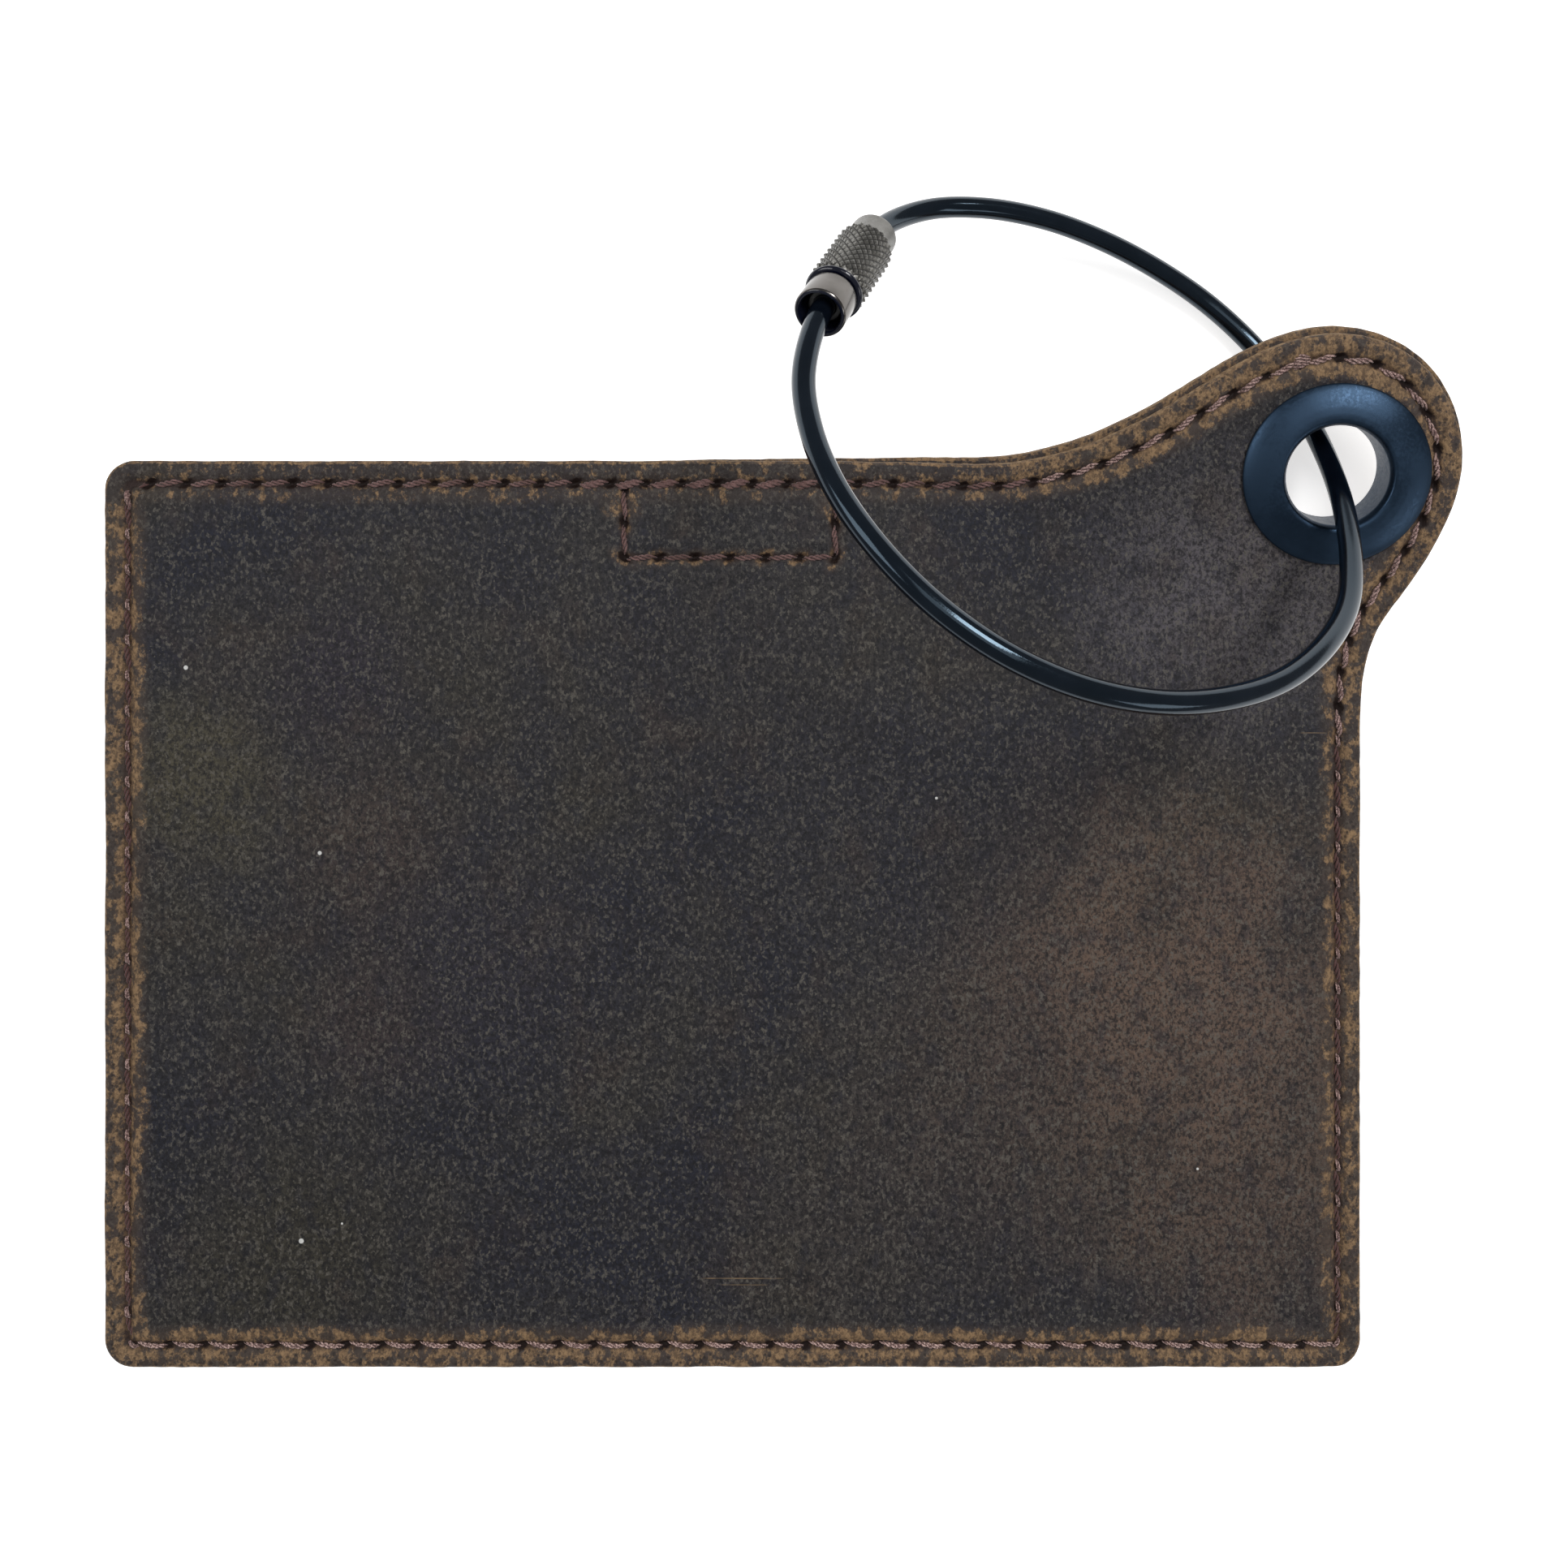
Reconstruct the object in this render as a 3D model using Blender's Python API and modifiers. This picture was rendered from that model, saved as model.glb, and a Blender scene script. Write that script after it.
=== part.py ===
"""Leather luggage tag with a wire-rope loop and a screw lock.

Three leather layers are sewn together round the edge, and a clear window in the lowest one shows an address
card. An ear at the upper right carries an eyelet, and a short cable runs through it and back to its own lock.
The tag lies face up, with its long side along X, and the ear curls up a little off the surface below.
Shapes are worked out in millimetres about the middle of the rectangular body, and MM turns them into metres.
"""

import math

import bmesh
import bpy
import numpy as np
from mathutils import Vector

MM = 0.001

# The middle of the whole tag, ear included, seen from the middle of the rectangular body.
FOOTPRINT_MIDDLE = (3.8, 5.55)

# Body and leather.
HALF_LENGTH = 54.0
HALF_WIDTH = 39.0
CORNER_RADIUS = 2.5
ARC_REACH = 0.5523 * CORNER_RADIUS  # handle length that makes a cubic follow a quarter circle
LEATHER = 1.2
POCKET_RIM = 2.3  # height of the pocket panel where it is sewn to the rear panel
REAR_LOW = 2.6
FRONT_LOW = REAR_LOW + LEATHER + 0.3
FACE = FRONT_LOW + LEATHER
REAR_REVEAL = 0.5  # how far the rear panel stands out past the front one along the top and the ear

# The tag's edge, counter-clockwise: x, y, heading in degrees, handle reach to the next knot, pieces.
EDGE_KNOTS = (
    (-HALF_LENGTH + CORNER_RADIUS, -HALF_WIDTH, 0.0, 0.0, 1),
    (HALF_LENGTH - CORNER_RADIUS, -HALF_WIDTH, 0.0, ARC_REACH, 5),
    (HALF_LENGTH, -HALF_WIDTH + CORNER_RADIUS, 90.0, 0.0, 1),
    (HALF_LENGTH, 16.0, 90.0, 4.1, 5),
    (56.8, 27.3, 56.5, 4.2, 5),
    (61.3, 39.2, 90.0, 6.0, 9),
    (50.6, 50.2, 180.0, 4.9, 6),
    (37.2, 44.2, 212.2, 5.6, 6),
    (21.0, HALF_WIDTH, 180.0, 0.0, 6),
    (-HALF_LENGTH + CORNER_RADIUS, HALF_WIDTH, 180.0, ARC_REACH, 5),
    (-HALF_LENGTH, HALF_WIDTH - CORNER_RADIUS, 270.0, 0.0, 1),
    (-HALF_LENGTH, -HALF_WIDTH + CORNER_RADIUS, 270.0, ARC_REACH, 5),
)

CLOSEST_POINTS = 0.12  # an inset corner keeps only points that are further apart

# The ear's curl: the sheet turns by CURL_ANGLE over CURL_SPAN, along CURL_HEADING, from CURL_START on.
CURL_HEADING = Vector((0.42, 0.9075)).normalized()
CURL_SIDE = Vector((-CURL_HEADING.y, CURL_HEADING.x))
CURL_START = 39.0
CURL_SPAN = 9.0
CURL_ANGLE = math.radians(13.5)
CURL_RADIUS = CURL_SPAN / CURL_ANGLE
CURL_PIECES = 6

# Seams. The thread lies in a groove that the stitches press into the leather.
STITCH_INSET = 2.0
GROOVE_HALF = 0.45
GROOVE_DEPTH = 0.35
UNDER_GROOVE_DEPTH = 0.6
THREAD_RADIUS = 0.2
FINE_THREAD_RADIUS = 0.1
BOX_LEFT, BOX_RIGHT = -9.3, 8.8
BOX_LOW, BOX_HIGH = 30.65, 35.8

# Pocket, window and card.
POCKET_INNER_X, POCKET_INNER_Y = -50.6, 35.6
MOUTH_X = 46.0
WINDOW_X, WINDOW_Y = (-44.0, 36.0), (-29.0, 19.0)
WINDOW_SEAM_OUT = 2.2
SHEET_LOW, SHEET_HIGH = 1.5, 1.75
CARD_X, CARD_Y = (-48.0, 41.0), (-33.0, 23.0)
CARD_LOW, CARD_HIGH = 2.15, 2.35
THUMB_NOTCH = (48.5, -5.0, 7.5)

# Eyelet: flat position, hole radius, and the hole in the leather.
EYELET = (51.1, 38.45)
EYELET_HOLE = 4.2
LEATHER_HOLE = 5.0
EAR_CLEARANCE = 13.5  # the pocket panel stops this far from the eyelet's axis

# Screw lock: its axis runs from the sleeve's outer end to the collar's mouth.
SLEEVE_END = Vector((11.77, 56.93, 11.6))
COLLAR_MOUTH = Vector((7.10, 49.00, 21.3))
LOCK_AXIS = (COLLAR_MOUTH - SLEEVE_END).normalized()

# Cable.
JACKET_RADIUS = 0.9
JACKET_WALL = 0.35
CORE_RADIUS = 0.42
CABLE_PIECES = 2  # tube sections between two points of the route


def on_lock_axis(along):
    """The point on the screw lock's axis that is so far from the sleeve's outer end."""
    return tuple(SLEEVE_END + LOCK_AXIS * along)


# The cable's middle line, from the ferrule in the collar, over the face, down through the eyelet, back along
# the surface below the ear and up into the sleeve.
CABLE_ROUTE = (
    on_lock_axis(11.3),
    on_lock_axis(12.6),
    (6.45, 47.1, 22.6),
    (5.85, 43.6, 24.9),
    (6.3, 39.9, 27.4),
    (7.9, 35.6, 30.2),
    (10.7, 31.4, 32.3),
    (14.7, 27.3, 33.6),
    (19.5, 24.0, 33.9),
    (24.7, 21.8, 33.2),
    (30.3, 20.7, 31.6),
    (35.7, 20.8, 29.1),
    (40.6, 21.9, 26.0),
    (44.7, 24.1, 22.5),
    (47.8, 27.0, 18.6),
    (49.6, 30.7, 14.5),
    (50.5, 34.9, 10.35),
    (50.6, 39.2, 6.2),
    (49.4, 43.9, 3.0),
    (46.5, 48.6, 1.45),
    (42.3, 52.7, 1.35),
    (37.4, 55.9, 2.0),
    (32.2, 58.3, 3.1),
    (26.7, 59.9, 4.5),
    (21.2, 60.5, 5.9),
    (17.3, 60.2, 7.0),
    (14.3, 59.1, 8.7),
    on_lock_axis(-0.7),
    on_lock_axis(2.5),
    on_lock_axis(6.3),
)
LOOP_PIVOT = (50.69, 37.9, 7.34)  # where the loop's swing axis crosses the eyelet

LEATHER_BROWN = (0.045, 0.037, 0.033)
THREAD_MAUVE = (0.17, 0.06, 0.05)
STEEL = (0.42, 0.41, 0.38)


def clear_scene():
    for old in list(bpy.data.objects):
        bpy.data.objects.remove(old)


def new_collection(name, hidden=False):
    made = bpy.data.collections.new(name)
    made.hide_render = hidden
    bpy.context.scene.collection.children.link(made)
    return made


clear_scene()
TAG_PARTS = new_collection("luggage_tag")
CUTTERS = new_collection("cutters", hidden=True)


def add_object(name, data, collection):
    made = bpy.data.objects.new(name, data)
    collection.objects.link(made)
    return made


def finish(obj, colour, roughness, metallic=0.0, alpha=1.0):
    """Gives the object a material of its own."""
    material = bpy.data.materials.new(obj.name)
    material.use_nodes = True
    shader = material.node_tree.nodes["Principled BSDF"]
    shader.inputs["Base Color"].default_value = (*colour, 1.0)
    shader.inputs["Roughness"].default_value = roughness
    shader.inputs["Metallic"].default_value = metallic
    shader.inputs["Alpha"].default_value = alpha
    obj.data.materials.clear()
    obj.data.materials.append(material)
    return obj


def evaluated_mesh(obj):
    bpy.context.view_layer.update()
    return bpy.data.meshes.new_from_object(obj.evaluated_get(bpy.context.evaluated_depsgraph_get()))


def bake(obj):
    """Turns the object's modifiers into plain mesh."""
    mesh = evaluated_mesh(obj)
    obj.modifiers.clear()
    obj.data = mesh


# Flat outlines.


def edge_points(inset=0.0, reveal=0.0, split_straights=False):
    """The tag's edge moved inwards by inset, or outwards by reveal where the rear panel stands out."""
    points = []
    for here, there in zip(EDGE_KNOTS, EDGE_KNOTS[1:] + EDGE_KNOTS[:1]):
        start, end = Vector(here[:2]), Vector(there[:2])
        start_heading, end_heading = (
            Vector((math.cos(math.radians(knot[2])), math.sin(math.radians(knot[2])))) for knot in (here, there)
        )
        leave, arrive = start + start_heading * here[3], end - end_heading * here[3]
        pieces = here[4] if here[3] or reveal or split_straights else 1
        for step in range(pieces):
            t = step / pieces
            s = 1.0 - t
            place = start * s**3 + leave * 3 * s * s * t + arrive * 3 * s * t * t + end * t**3
            slope = (leave - start) * s * s + (arrive - leave) * 2 * s * t + (end - arrive) * t * t
            if slope.length < 1e-6:
                slope = start_heading
            inwards = Vector((-slope.y, slope.x)).normalized()
            stands_out = reveal * ramp(place.x, -14.0, 20.0) * ramp(place.y, 16.0, 32.0)
            moved = place + inwards * (inset - stands_out)
            if not points or math.dist(points[-1], moved) > CLOSEST_POINTS:
                points.append(tuple(moved))
    return points


def ramp(value, start, end):
    """0 before start, 1 after end."""
    return min(max((value - start) / (end - start), 0.0), 1.0)


def circle_points(x, y, radius, count=32):
    return [
        (x + radius * math.cos(2 * math.pi * i / count), y + radius * math.sin(2 * math.pi * i / count))
        for i in range(count)
    ]


def rounded_rectangle(x_range, y_range, radius, pieces=4):
    """Corner arcs of a rectangle, counter-clockwise."""
    points = []
    corners = (
        (x_range[1] - radius, y_range[0] + radius, -90),
        (x_range[1] - radius, y_range[1] - radius, 0),
        (x_range[0] + radius, y_range[1] - radius, 90),
        (x_range[0] + radius, y_range[0] + radius, 180),
    )
    for x, y, first in corners:
        for i in range(pieces + 1):
            angle = math.radians(first + 90 * i / pieces)
            points.append((x + radius * math.cos(angle), y + radius * math.sin(angle)))
    return points


def window_ring(outwards):
    """A line round the window, so far outside the cut-out's edge."""
    return rounded_rectangle(
        (WINDOW_X[0] - outwards, WINDOW_X[1] + outwards),
        (WINDOW_Y[0] - outwards, WINDOW_Y[1] + outwards),
        2.0 + outwards,
    )


def box_seam_band(half):
    """The outline of the box stitch's three sides, as a band of that half width."""
    return [
        (BOX_LEFT - half, BOX_HIGH + half),
        (BOX_LEFT - half, BOX_LOW - half),
        (BOX_RIGHT + half, BOX_LOW - half),
        (BOX_RIGHT + half, BOX_HIGH + half),
        (BOX_RIGHT - half, BOX_HIGH + half),
        (BOX_RIGHT - half, BOX_LOW + half),
        (BOX_LEFT + half, BOX_LOW + half),
        (BOX_LEFT + half, BOX_HIGH + half),
    ]


# Solids from outlines.


def prism(name, loops, low, high, collection=TAG_PARTS):
    """A flat plate between two heights, bounded by closed loops of points. An inner loop is a hole."""
    curve = bpy.data.curves.new(name, "CURVE")
    curve.dimensions = "2D"
    curve.fill_mode = "BOTH"
    curve.extrude = (high - low) / 2 * MM
    for loop in loops:
        spline = curve.splines.new("POLY")
        spline.points.add(len(loop) - 1)
        spline.use_cyclic_u = True
        for point, (x, y) in zip(spline.points, loop):
            point.co = (x * MM, y * MM, 0.0, 1.0)
    outline = add_object(name + "_outline", curve, collection)
    mesh = evaluated_mesh(outline)
    bpy.data.objects.remove(outline)
    shape = bmesh.new()
    shape.from_mesh(mesh)
    bmesh.ops.translate(shape, verts=shape.verts, vec=(0.0, 0.0, (low + high) / 2 * MM))
    bmesh.ops.remove_doubles(shape, verts=shape.verts, dist=1e-6)
    bmesh.ops.recalc_face_normals(shape, faces=shape.faces)
    shape.to_mesh(mesh)
    shape.free()
    mesh.materials.clear()
    return add_object(name, mesh, collection)


def cutter(name, loops, low, high):
    made = prism(name, loops, low, high, CUTTERS)
    made.hide_render = True
    made.display_type = "WIRE"
    return made


def cut(obj, *tools):
    for tool in tools:
        boolean = obj.modifiers.new(tool.name, "BOOLEAN")
        boolean.operation = "DIFFERENCE"
        boolean.object = tool
    bake(obj)


def curled(x, y, z):
    """Where a point of the flat tag goes when the ear curls up, all in millimetres."""
    flat = Vector((x, y))
    along, across = flat.dot(CURL_HEADING), flat.dot(CURL_SIDE)
    turn = min(max((along - CURL_START) / CURL_RADIUS, 0.0), CURL_ANGLE)
    beyond = max(along - CURL_START - CURL_SPAN, 0.0)
    height = z - REAR_LOW
    reach = min(along, CURL_START) + CURL_RADIUS * math.sin(turn) + beyond * math.cos(CURL_ANGLE)
    lift = CURL_RADIUS * (1 - math.cos(turn)) + beyond * math.sin(CURL_ANGLE)
    moved = CURL_HEADING * (reach - height * math.sin(turn)) + CURL_SIDE * across
    return Vector((moved.x, moved.y, REAR_LOW + lift + height * math.cos(turn)))


def curl(obj):
    """Bends a flat solid with the ear, after slicing it across the stretch that bends."""
    shape = bmesh.new()
    shape.from_mesh(obj.data)
    bmesh.ops.triangulate(shape, faces=shape.faces)
    normal = (CURL_HEADING.x, CURL_HEADING.y, 0.0)
    for i in range(CURL_PIECES + 1):
        along = (CURL_START + CURL_SPAN * i / CURL_PIECES) * MM
        bmesh.ops.bisect_plane(
            shape,
            geom=shape.verts[:] + shape.edges[:] + shape.faces[:],
            dist=1e-7,
            plane_co=(normal[0] * along, normal[1] * along, 0.0),
            plane_no=normal,
        )
    for vert in shape.verts:
        vert.co = curled(*(vert.co / MM)) * MM
    bmesh.ops.remove_doubles(shape, verts=shape.verts, dist=1e-6)
    bmesh.ops.triangulate(shape, faces=shape.faces)
    shape.to_mesh(obj.data)
    shape.free()


# Tubes and turned pieces.


def tube(name, points, radius, closed=False, sides=1, capped=True):
    """A round tube along points in millimetres, with 4 sides plus 2 for each step of sides."""
    curve = bpy.data.curves.new(name, "CURVE")
    curve.dimensions = "3D"
    curve.bevel_depth = radius * MM
    curve.bevel_resolution = sides
    curve.use_fill_caps = capped and not closed
    spline = curve.splines.new("POLY")
    spline.points.add(len(points) - 1)
    spline.use_cyclic_u = closed
    for point, place in zip(spline.points, points):
        point.co = (*(Vector(place) * MM), 1.0)
    return add_object(name, curve, TAG_PARTS)


def turned(name, profile, steps):
    """A ring turned from a closed profile of (radius, height) that runs down its outer side."""
    mesh = bpy.data.meshes.new(name)
    shape = bmesh.new()
    verts = [shape.verts.new((radius * MM, 0.0, height * MM)) for radius, height in profile]
    for first, second in zip(verts, verts[1:] + verts[:1]):
        shape.edges.new((first, second))
    shape.to_mesh(mesh)
    shape.free()
    obj = add_object(name, mesh, TAG_PARTS)
    screw = obj.modifiers.new("turn", "SCREW")
    screw.steps = screw.render_steps = steps
    screw.use_merge_vertices = True
    screw.merge_threshold = 0.00001
    return obj


def aim(obj, place, axis):
    """Puts a turned piece's origin at place, in millimetres, with its own Z along axis."""
    obj.location = Vector(place) * MM
    obj.rotation_euler = axis.to_track_quat("Z", "Y").to_euler()


# The leather layers.


def make_front_panel():
    panel = prism("front_panel", [edge_points()], FRONT_LOW, FACE)
    floor = FACE - GROOVE_DEPTH
    cut(
        panel,
        cutter("front_eyelet_hole", [circle_points(*EYELET, LEATHER_HOLE)], FRONT_LOW - 1, FACE + 1),
        cutter("front_seam_groove", seam_groove_loops(), floor, FACE + 1),
        cutter("front_box_groove", [box_seam_band(GROOVE_HALF)], floor, FACE + 1),
    )
    curl(panel)
    return finish(panel, LEATHER_BROWN, 0.6)


def seam_groove_loops():
    return [edge_points(STITCH_INSET - GROOVE_HALF), edge_points(STITCH_INSET + GROOVE_HALF)]


def make_rear_panel():
    panel = prism("rear_panel", [edge_points(reveal=REAR_REVEAL)], REAR_LOW, REAR_LOW + LEATHER)
    cut(
        panel,
        cutter("rear_eyelet_hole", [circle_points(*EYELET, LEATHER_HOLE)], 1, FRONT_LOW + 1),
        cutter("rear_seam_groove", seam_groove_loops(), REAR_LOW - 1, REAR_LOW + UNDER_GROOVE_DEPTH),
    )
    curl(panel)
    return finish(panel, (0.16, 0.10, 0.06), 0.7)


def make_pocket_panel():
    """The third layer: thin under the card, full height where it is sewn on, open at the right-hand side."""
    panel = prism("pocket_panel", [edge_points()], 0.0, POCKET_RIM)
    inner = rounded_rectangle((POCKET_INNER_X, 60.0), (-POCKET_INNER_Y, POCKET_INNER_Y), 1.5)
    right_side = [(MOUTH_X, -50), (80, -50), (80, 60), (MOUTH_X, 60)]
    cut(
        panel,
        cutter("pocket_hollow", [inner], LEATHER, POCKET_RIM + 1),
        cutter("pocket_mouth", [right_side], -1, POCKET_RIM + 2),
        cutter("pocket_ear_cut", [circle_points(*EYELET, EAR_CLEARANCE, 48)], -1.5, POCKET_RIM + 1.5),
        cutter("pocket_window", [window_ring(0.0)], -2, POCKET_RIM + 1.2),
        cutter("pocket_thumb_notch", [circle_points(*THUMB_NOTCH)], -1.2, POCKET_RIM + 1.7),
        cutter("pocket_seam_groove", seam_groove_loops(), -0.8, UNDER_GROOVE_DEPTH),
        cutter(
            "window_seam_groove",
            [window_ring(WINDOW_SEAM_OUT + GROOVE_HALF), window_ring(WINDOW_SEAM_OUT - GROOVE_HALF)],
            -0.8,
            UNDER_GROOVE_DEPTH,
        ),
        cutter("box_knot_trough", [box_seam_band(GROOVE_HALF)], LEATHER - GROOVE_DEPTH, POCKET_RIM + 0.8),
    )
    curl(panel)
    return finish(panel, LEATHER_BROWN, 0.65)


def make_clear_window():
    outline = rounded_rectangle((POCKET_INNER_X + 0.3, MOUTH_X - 0.6), (-35.3, 35.3), 1.5)
    window = prism("clear_window", [outline], SHEET_LOW, SHEET_HIGH)
    cut(
        window,
        cutter("window_ear_cut", [circle_points(*EYELET, EAR_CLEARANCE + 0.4, 48)], 0, 4),
        cutter("window_thumb_notch", [circle_points(*THUMB_NOTCH)], 0.5, 3.5),
    )
    curl(window)
    return finish(window, (0.8, 0.82, 0.8), 0.15, alpha=0.3)


def make_address_card():
    card = prism("address_card", [rounded_rectangle(CARD_X, CARD_Y, 1.5)], CARD_LOW, CARD_HIGH)
    return finish(card, (0.8, 0.78, 0.7), 0.8)


# The seams.


def on_pocket(x, y):
    """Whether the pocket panel covers this point of the rear panel."""
    return x < MOUTH_X and math.hypot(x - EYELET[0], y - EYELET[1]) > EAR_CLEARANCE


def bobbin_line():
    """The perimeter seam's lower thread: under the pocket panel, and up on the rear panel where that ends."""
    flat = [Vector(point) for point in edge_points(STITCH_INSET, split_straights=True)]
    low = THREAD_RADIUS + 0.05
    high = REAR_LOW + low
    line = []
    for here, there in zip(flat, flat[1:] + flat[:1]):
        line.append((here.x, here.y, low if on_pocket(*here) else high))
        if on_pocket(*here) == on_pocket(*there):
            continue
        inside, outside = (here, there) if on_pocket(*here) else (there, here)
        covered, bare = inside.copy(), outside.copy()
        for _ in range(30):
            middle = (covered + bare) / 2
            if on_pocket(*middle):
                covered = middle
            else:
                bare = middle
        away = (outside - inside).normalized()
        step = [(*(covered + away * 0.45), low), (*(covered + away * 1.0), high)]
        line += step if inside is here else step[::-1]
    return line


def make_threads():
    groove_z = FACE - GROOVE_DEPTH + THREAD_RADIUS + 0.06
    seam = [(x, y, groove_z) for x, y in edge_points(STITCH_INSET, split_straights=True)]
    trough_z = LEATHER - GROOVE_DEPTH + THREAD_RADIUS + 0.05
    box = [(BOX_LEFT, BOX_HIGH), (BOX_LEFT, BOX_LOW), (BOX_RIGHT, BOX_LOW), (BOX_RIGHT, BOX_HIGH)]
    window_seam = window_ring(WINDOW_SEAM_OUT)
    lines = (
        ("perimeter_needle_thread", seam, THREAD_RADIUS, True),
        ("perimeter_bobbin_thread", bobbin_line(), THREAD_RADIUS, True),
        ("box_needle_thread", [(x, y, groove_z) for x, y in box], THREAD_RADIUS, False),
        ("box_bobbin_thread", [(x, y, trough_z) for x, y in box], THREAD_RADIUS, False),
        ("window_needle_thread", [(x, y, THREAD_RADIUS + 0.05) for x, y in window_seam], THREAD_RADIUS, True),
        ("window_bobbin_thread", [(x, y, SHEET_HIGH + 0.15) for x, y in window_seam], FINE_THREAD_RADIUS, True),
    )
    threads = []
    for name, line, radius, closed in lines:
        thread = tube(name, [curled(*point) for point in line], radius, closed)
        threads.append(finish(thread, THREAD_MAUVE, 0.6))
    return threads


# The eyelet. Heights are from the rear panel's underside.


def make_eyelet():
    flange_under = FACE - REAR_LOW + 0.2
    profile = (
        (4.45, flange_under + 0.72),
        (5.0, flange_under + 0.92),
        (6.0, flange_under + 0.88),
        (6.9, flange_under + 0.6),
        (7.5, flange_under + 0.28),
        (7.7, flange_under + 0.05),
        (7.6, flange_under),
        (4.7, flange_under),
        (4.7, -0.85),
        (5.9, -0.85),
        (6.15, -1.1),
        (5.9, -1.35),
        (4.8, -1.35),
        (4.3, -1.1),
        (EYELET_HOLE, -0.7),
        (EYELET_HOLE, flange_under + 0.35),
    )
    eyelet = turned("eyelet", profile, 40)
    place_in_ear(eyelet)
    return finish(eyelet, (0.012, 0.02, 0.045), 0.4, metallic=0.3)


def make_eyelet_washer():
    washer = turned("eyelet_washer", ((6.7, -0.25), (6.7, -0.65), (5.0, -0.65), (5.0, -0.25)), 40)
    place_in_ear(washer)
    return finish(washer, STEEL, 0.35, metallic=1.0)


def place_in_ear(obj):
    base = curled(*EYELET, REAR_LOW)
    aim(obj, base, (curled(*EYELET, REAR_LOW + 1) - base).normalized())


# The cable and its screw lock. Heights are along the lock's axis from the sleeve's outer end.


def smooth_through(route, pieces):
    """Points on a smooth curve through the route, which starts and ends straight along the lock's axis."""
    stops = [np.array(place) for place in route]
    spans = [np.linalg.norm(b - a) for a, b in zip(stops, stops[1:])]
    slopes = [np.array(LOCK_AXIS)]
    for i in range(1, len(stops) - 1):
        before, after = (stops[i] - stops[i - 1]) / spans[i - 1], (stops[i + 1] - stops[i]) / spans[i]
        slopes.append((before * spans[i] + after * spans[i - 1]) / (spans[i - 1] + spans[i]))
    slopes.append(np.array(LOCK_AXIS))
    points = []
    for i, span in enumerate(spans):
        for step in range(pieces):
            t = step / pieces
            points.append(
                (2 * t**3 - 3 * t**2 + 1) * stops[i]
                + (t**3 - 2 * t**2 + t) * span * slopes[i]
                + (3 * t**2 - 2 * t**3) * stops[i + 1]
                + (t**3 - t**2) * span * slopes[i + 1]
            )
    return points + [stops[-1]]


def make_cable():
    """The steel core, and the jacket round it as a shell that is open at both ends."""
    line = smooth_through(CABLE_ROUTE, CABLE_PIECES)
    jacket = tube("cable_jacket", line, JACKET_RADIUS, sides=2, capped=False)
    wall = jacket.modifiers.new("wall", "SOLIDIFY")
    wall.thickness = JACKET_WALL * MM
    wall.offset = -1.0
    core = tube("cable_core", line, CORE_RADIUS, sides=1)
    finish(jacket, (0.01, 0.012, 0.02), 0.12)
    finish(core, STEEL, 0.3, metallic=1.0)
    return jacket, core


LOCK_PROFILES = {
    "screw_collar": (
        (1.7, 13.45),
        (1.9, 13.45),
        (2.05, 13.3),
        (2.05, 10.65),
        (1.95, 10.5),
        (1.5, 10.5),
        (1.5, 7.5),
        (1.4, 7.4),
        (0.9, 7.4),
        (0.9, 10.7),
        (1.7, 10.7),
    ),
    "collar_ferrule": ((1.3, 12.25), (1.4, 12.1), (1.4, 10.95), (1.05, 10.95), (1.05, 12.25)),
    "lock_ring": tuple(
        (1.98 - 0.33 * math.cos(math.pi * i / 5), 10.13 - 0.27 * math.sin(math.pi * i / 5)) for i in range(10, 0, -1)
    ),
    "knurled_sleeve": (
        (1.7, 9.75),
        (2.15, 9.75),
        (2.35, 9.55),
        (2.35, 2.45),
        (2.15, 2.25),
        (1.95, 2.2),
        (1.95, 0.25),
        (1.75, 0.0),
        (1.42, 0.0),
        (1.42, 2.3),
        (1.7, 2.3),
    ),
    "stop_ferrule": ((1.45, 6.5), (1.55, 6.4), (1.55, 2.6), (1.45, 2.5), (1.05, 2.5), (1.05, 6.5)),
}


def make_lock():
    finishes = {
        "screw_collar": (STEEL, 0.3, 1.0),
        "collar_ferrule": ((0.5, 0.5, 0.5), 0.4, 1.0),
        "lock_ring": ((0.01, 0.01, 0.012), 0.25, 0.0),
        "knurled_sleeve": ((0.15, 0.14, 0.12), 0.4, 1.0),
        "stop_ferrule": ((0.5, 0.5, 0.5), 0.4, 1.0),
    }
    pieces = []
    for name, profile in LOCK_PROFILES.items():
        piece = turned(name, profile, 24)
        aim(piece, SLEEVE_END, LOCK_AXIS)
        pieces.append(finish(piece, *finishes[name]))
    return pieces


def hang_on(pieces, name, place, parent=None):
    """Parents pieces that stand in the parent's frame to a new empty at place, and keeps them where they are."""
    empty = add_object(name, None, TAG_PARTS)
    empty.empty_display_size = 5 * MM
    empty.location = place
    for piece in pieces:
        piece.parent = empty
        piece.location -= empty.location if parent is None else Vector()
    return empty


def main():
    tag = [
        make_front_panel(),
        make_rear_panel(),
        make_pocket_panel(),
        make_clear_window(),
        make_address_card(),
        *make_threads(),
        make_eyelet(),
        make_eyelet_washer(),
    ]
    loop = [*make_cable(), *make_lock()]
    pivot = Vector(LOOP_PIVOT) * MM
    loop_pivot = hang_on(loop, "loop_pivot", pivot)
    tag_frame = add_object("tag_frame", None, TAG_PARTS)
    tag_frame.empty_display_size = 20 * MM
    for piece in [*tag, loop_pivot]:
        piece.parent = tag_frame
    tag_frame.location = (-FOOTPRINT_MIDDLE[0] * MM, -FOOTPRINT_MIDDLE[1] * MM, 0.0)
    for obj in TAG_PARTS.objects:
        if obj.type == "MESH":
            obj.data.shade_smooth()
            obj.data.set_sharp_from_angle(angle=math.radians(35))


main()
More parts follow.
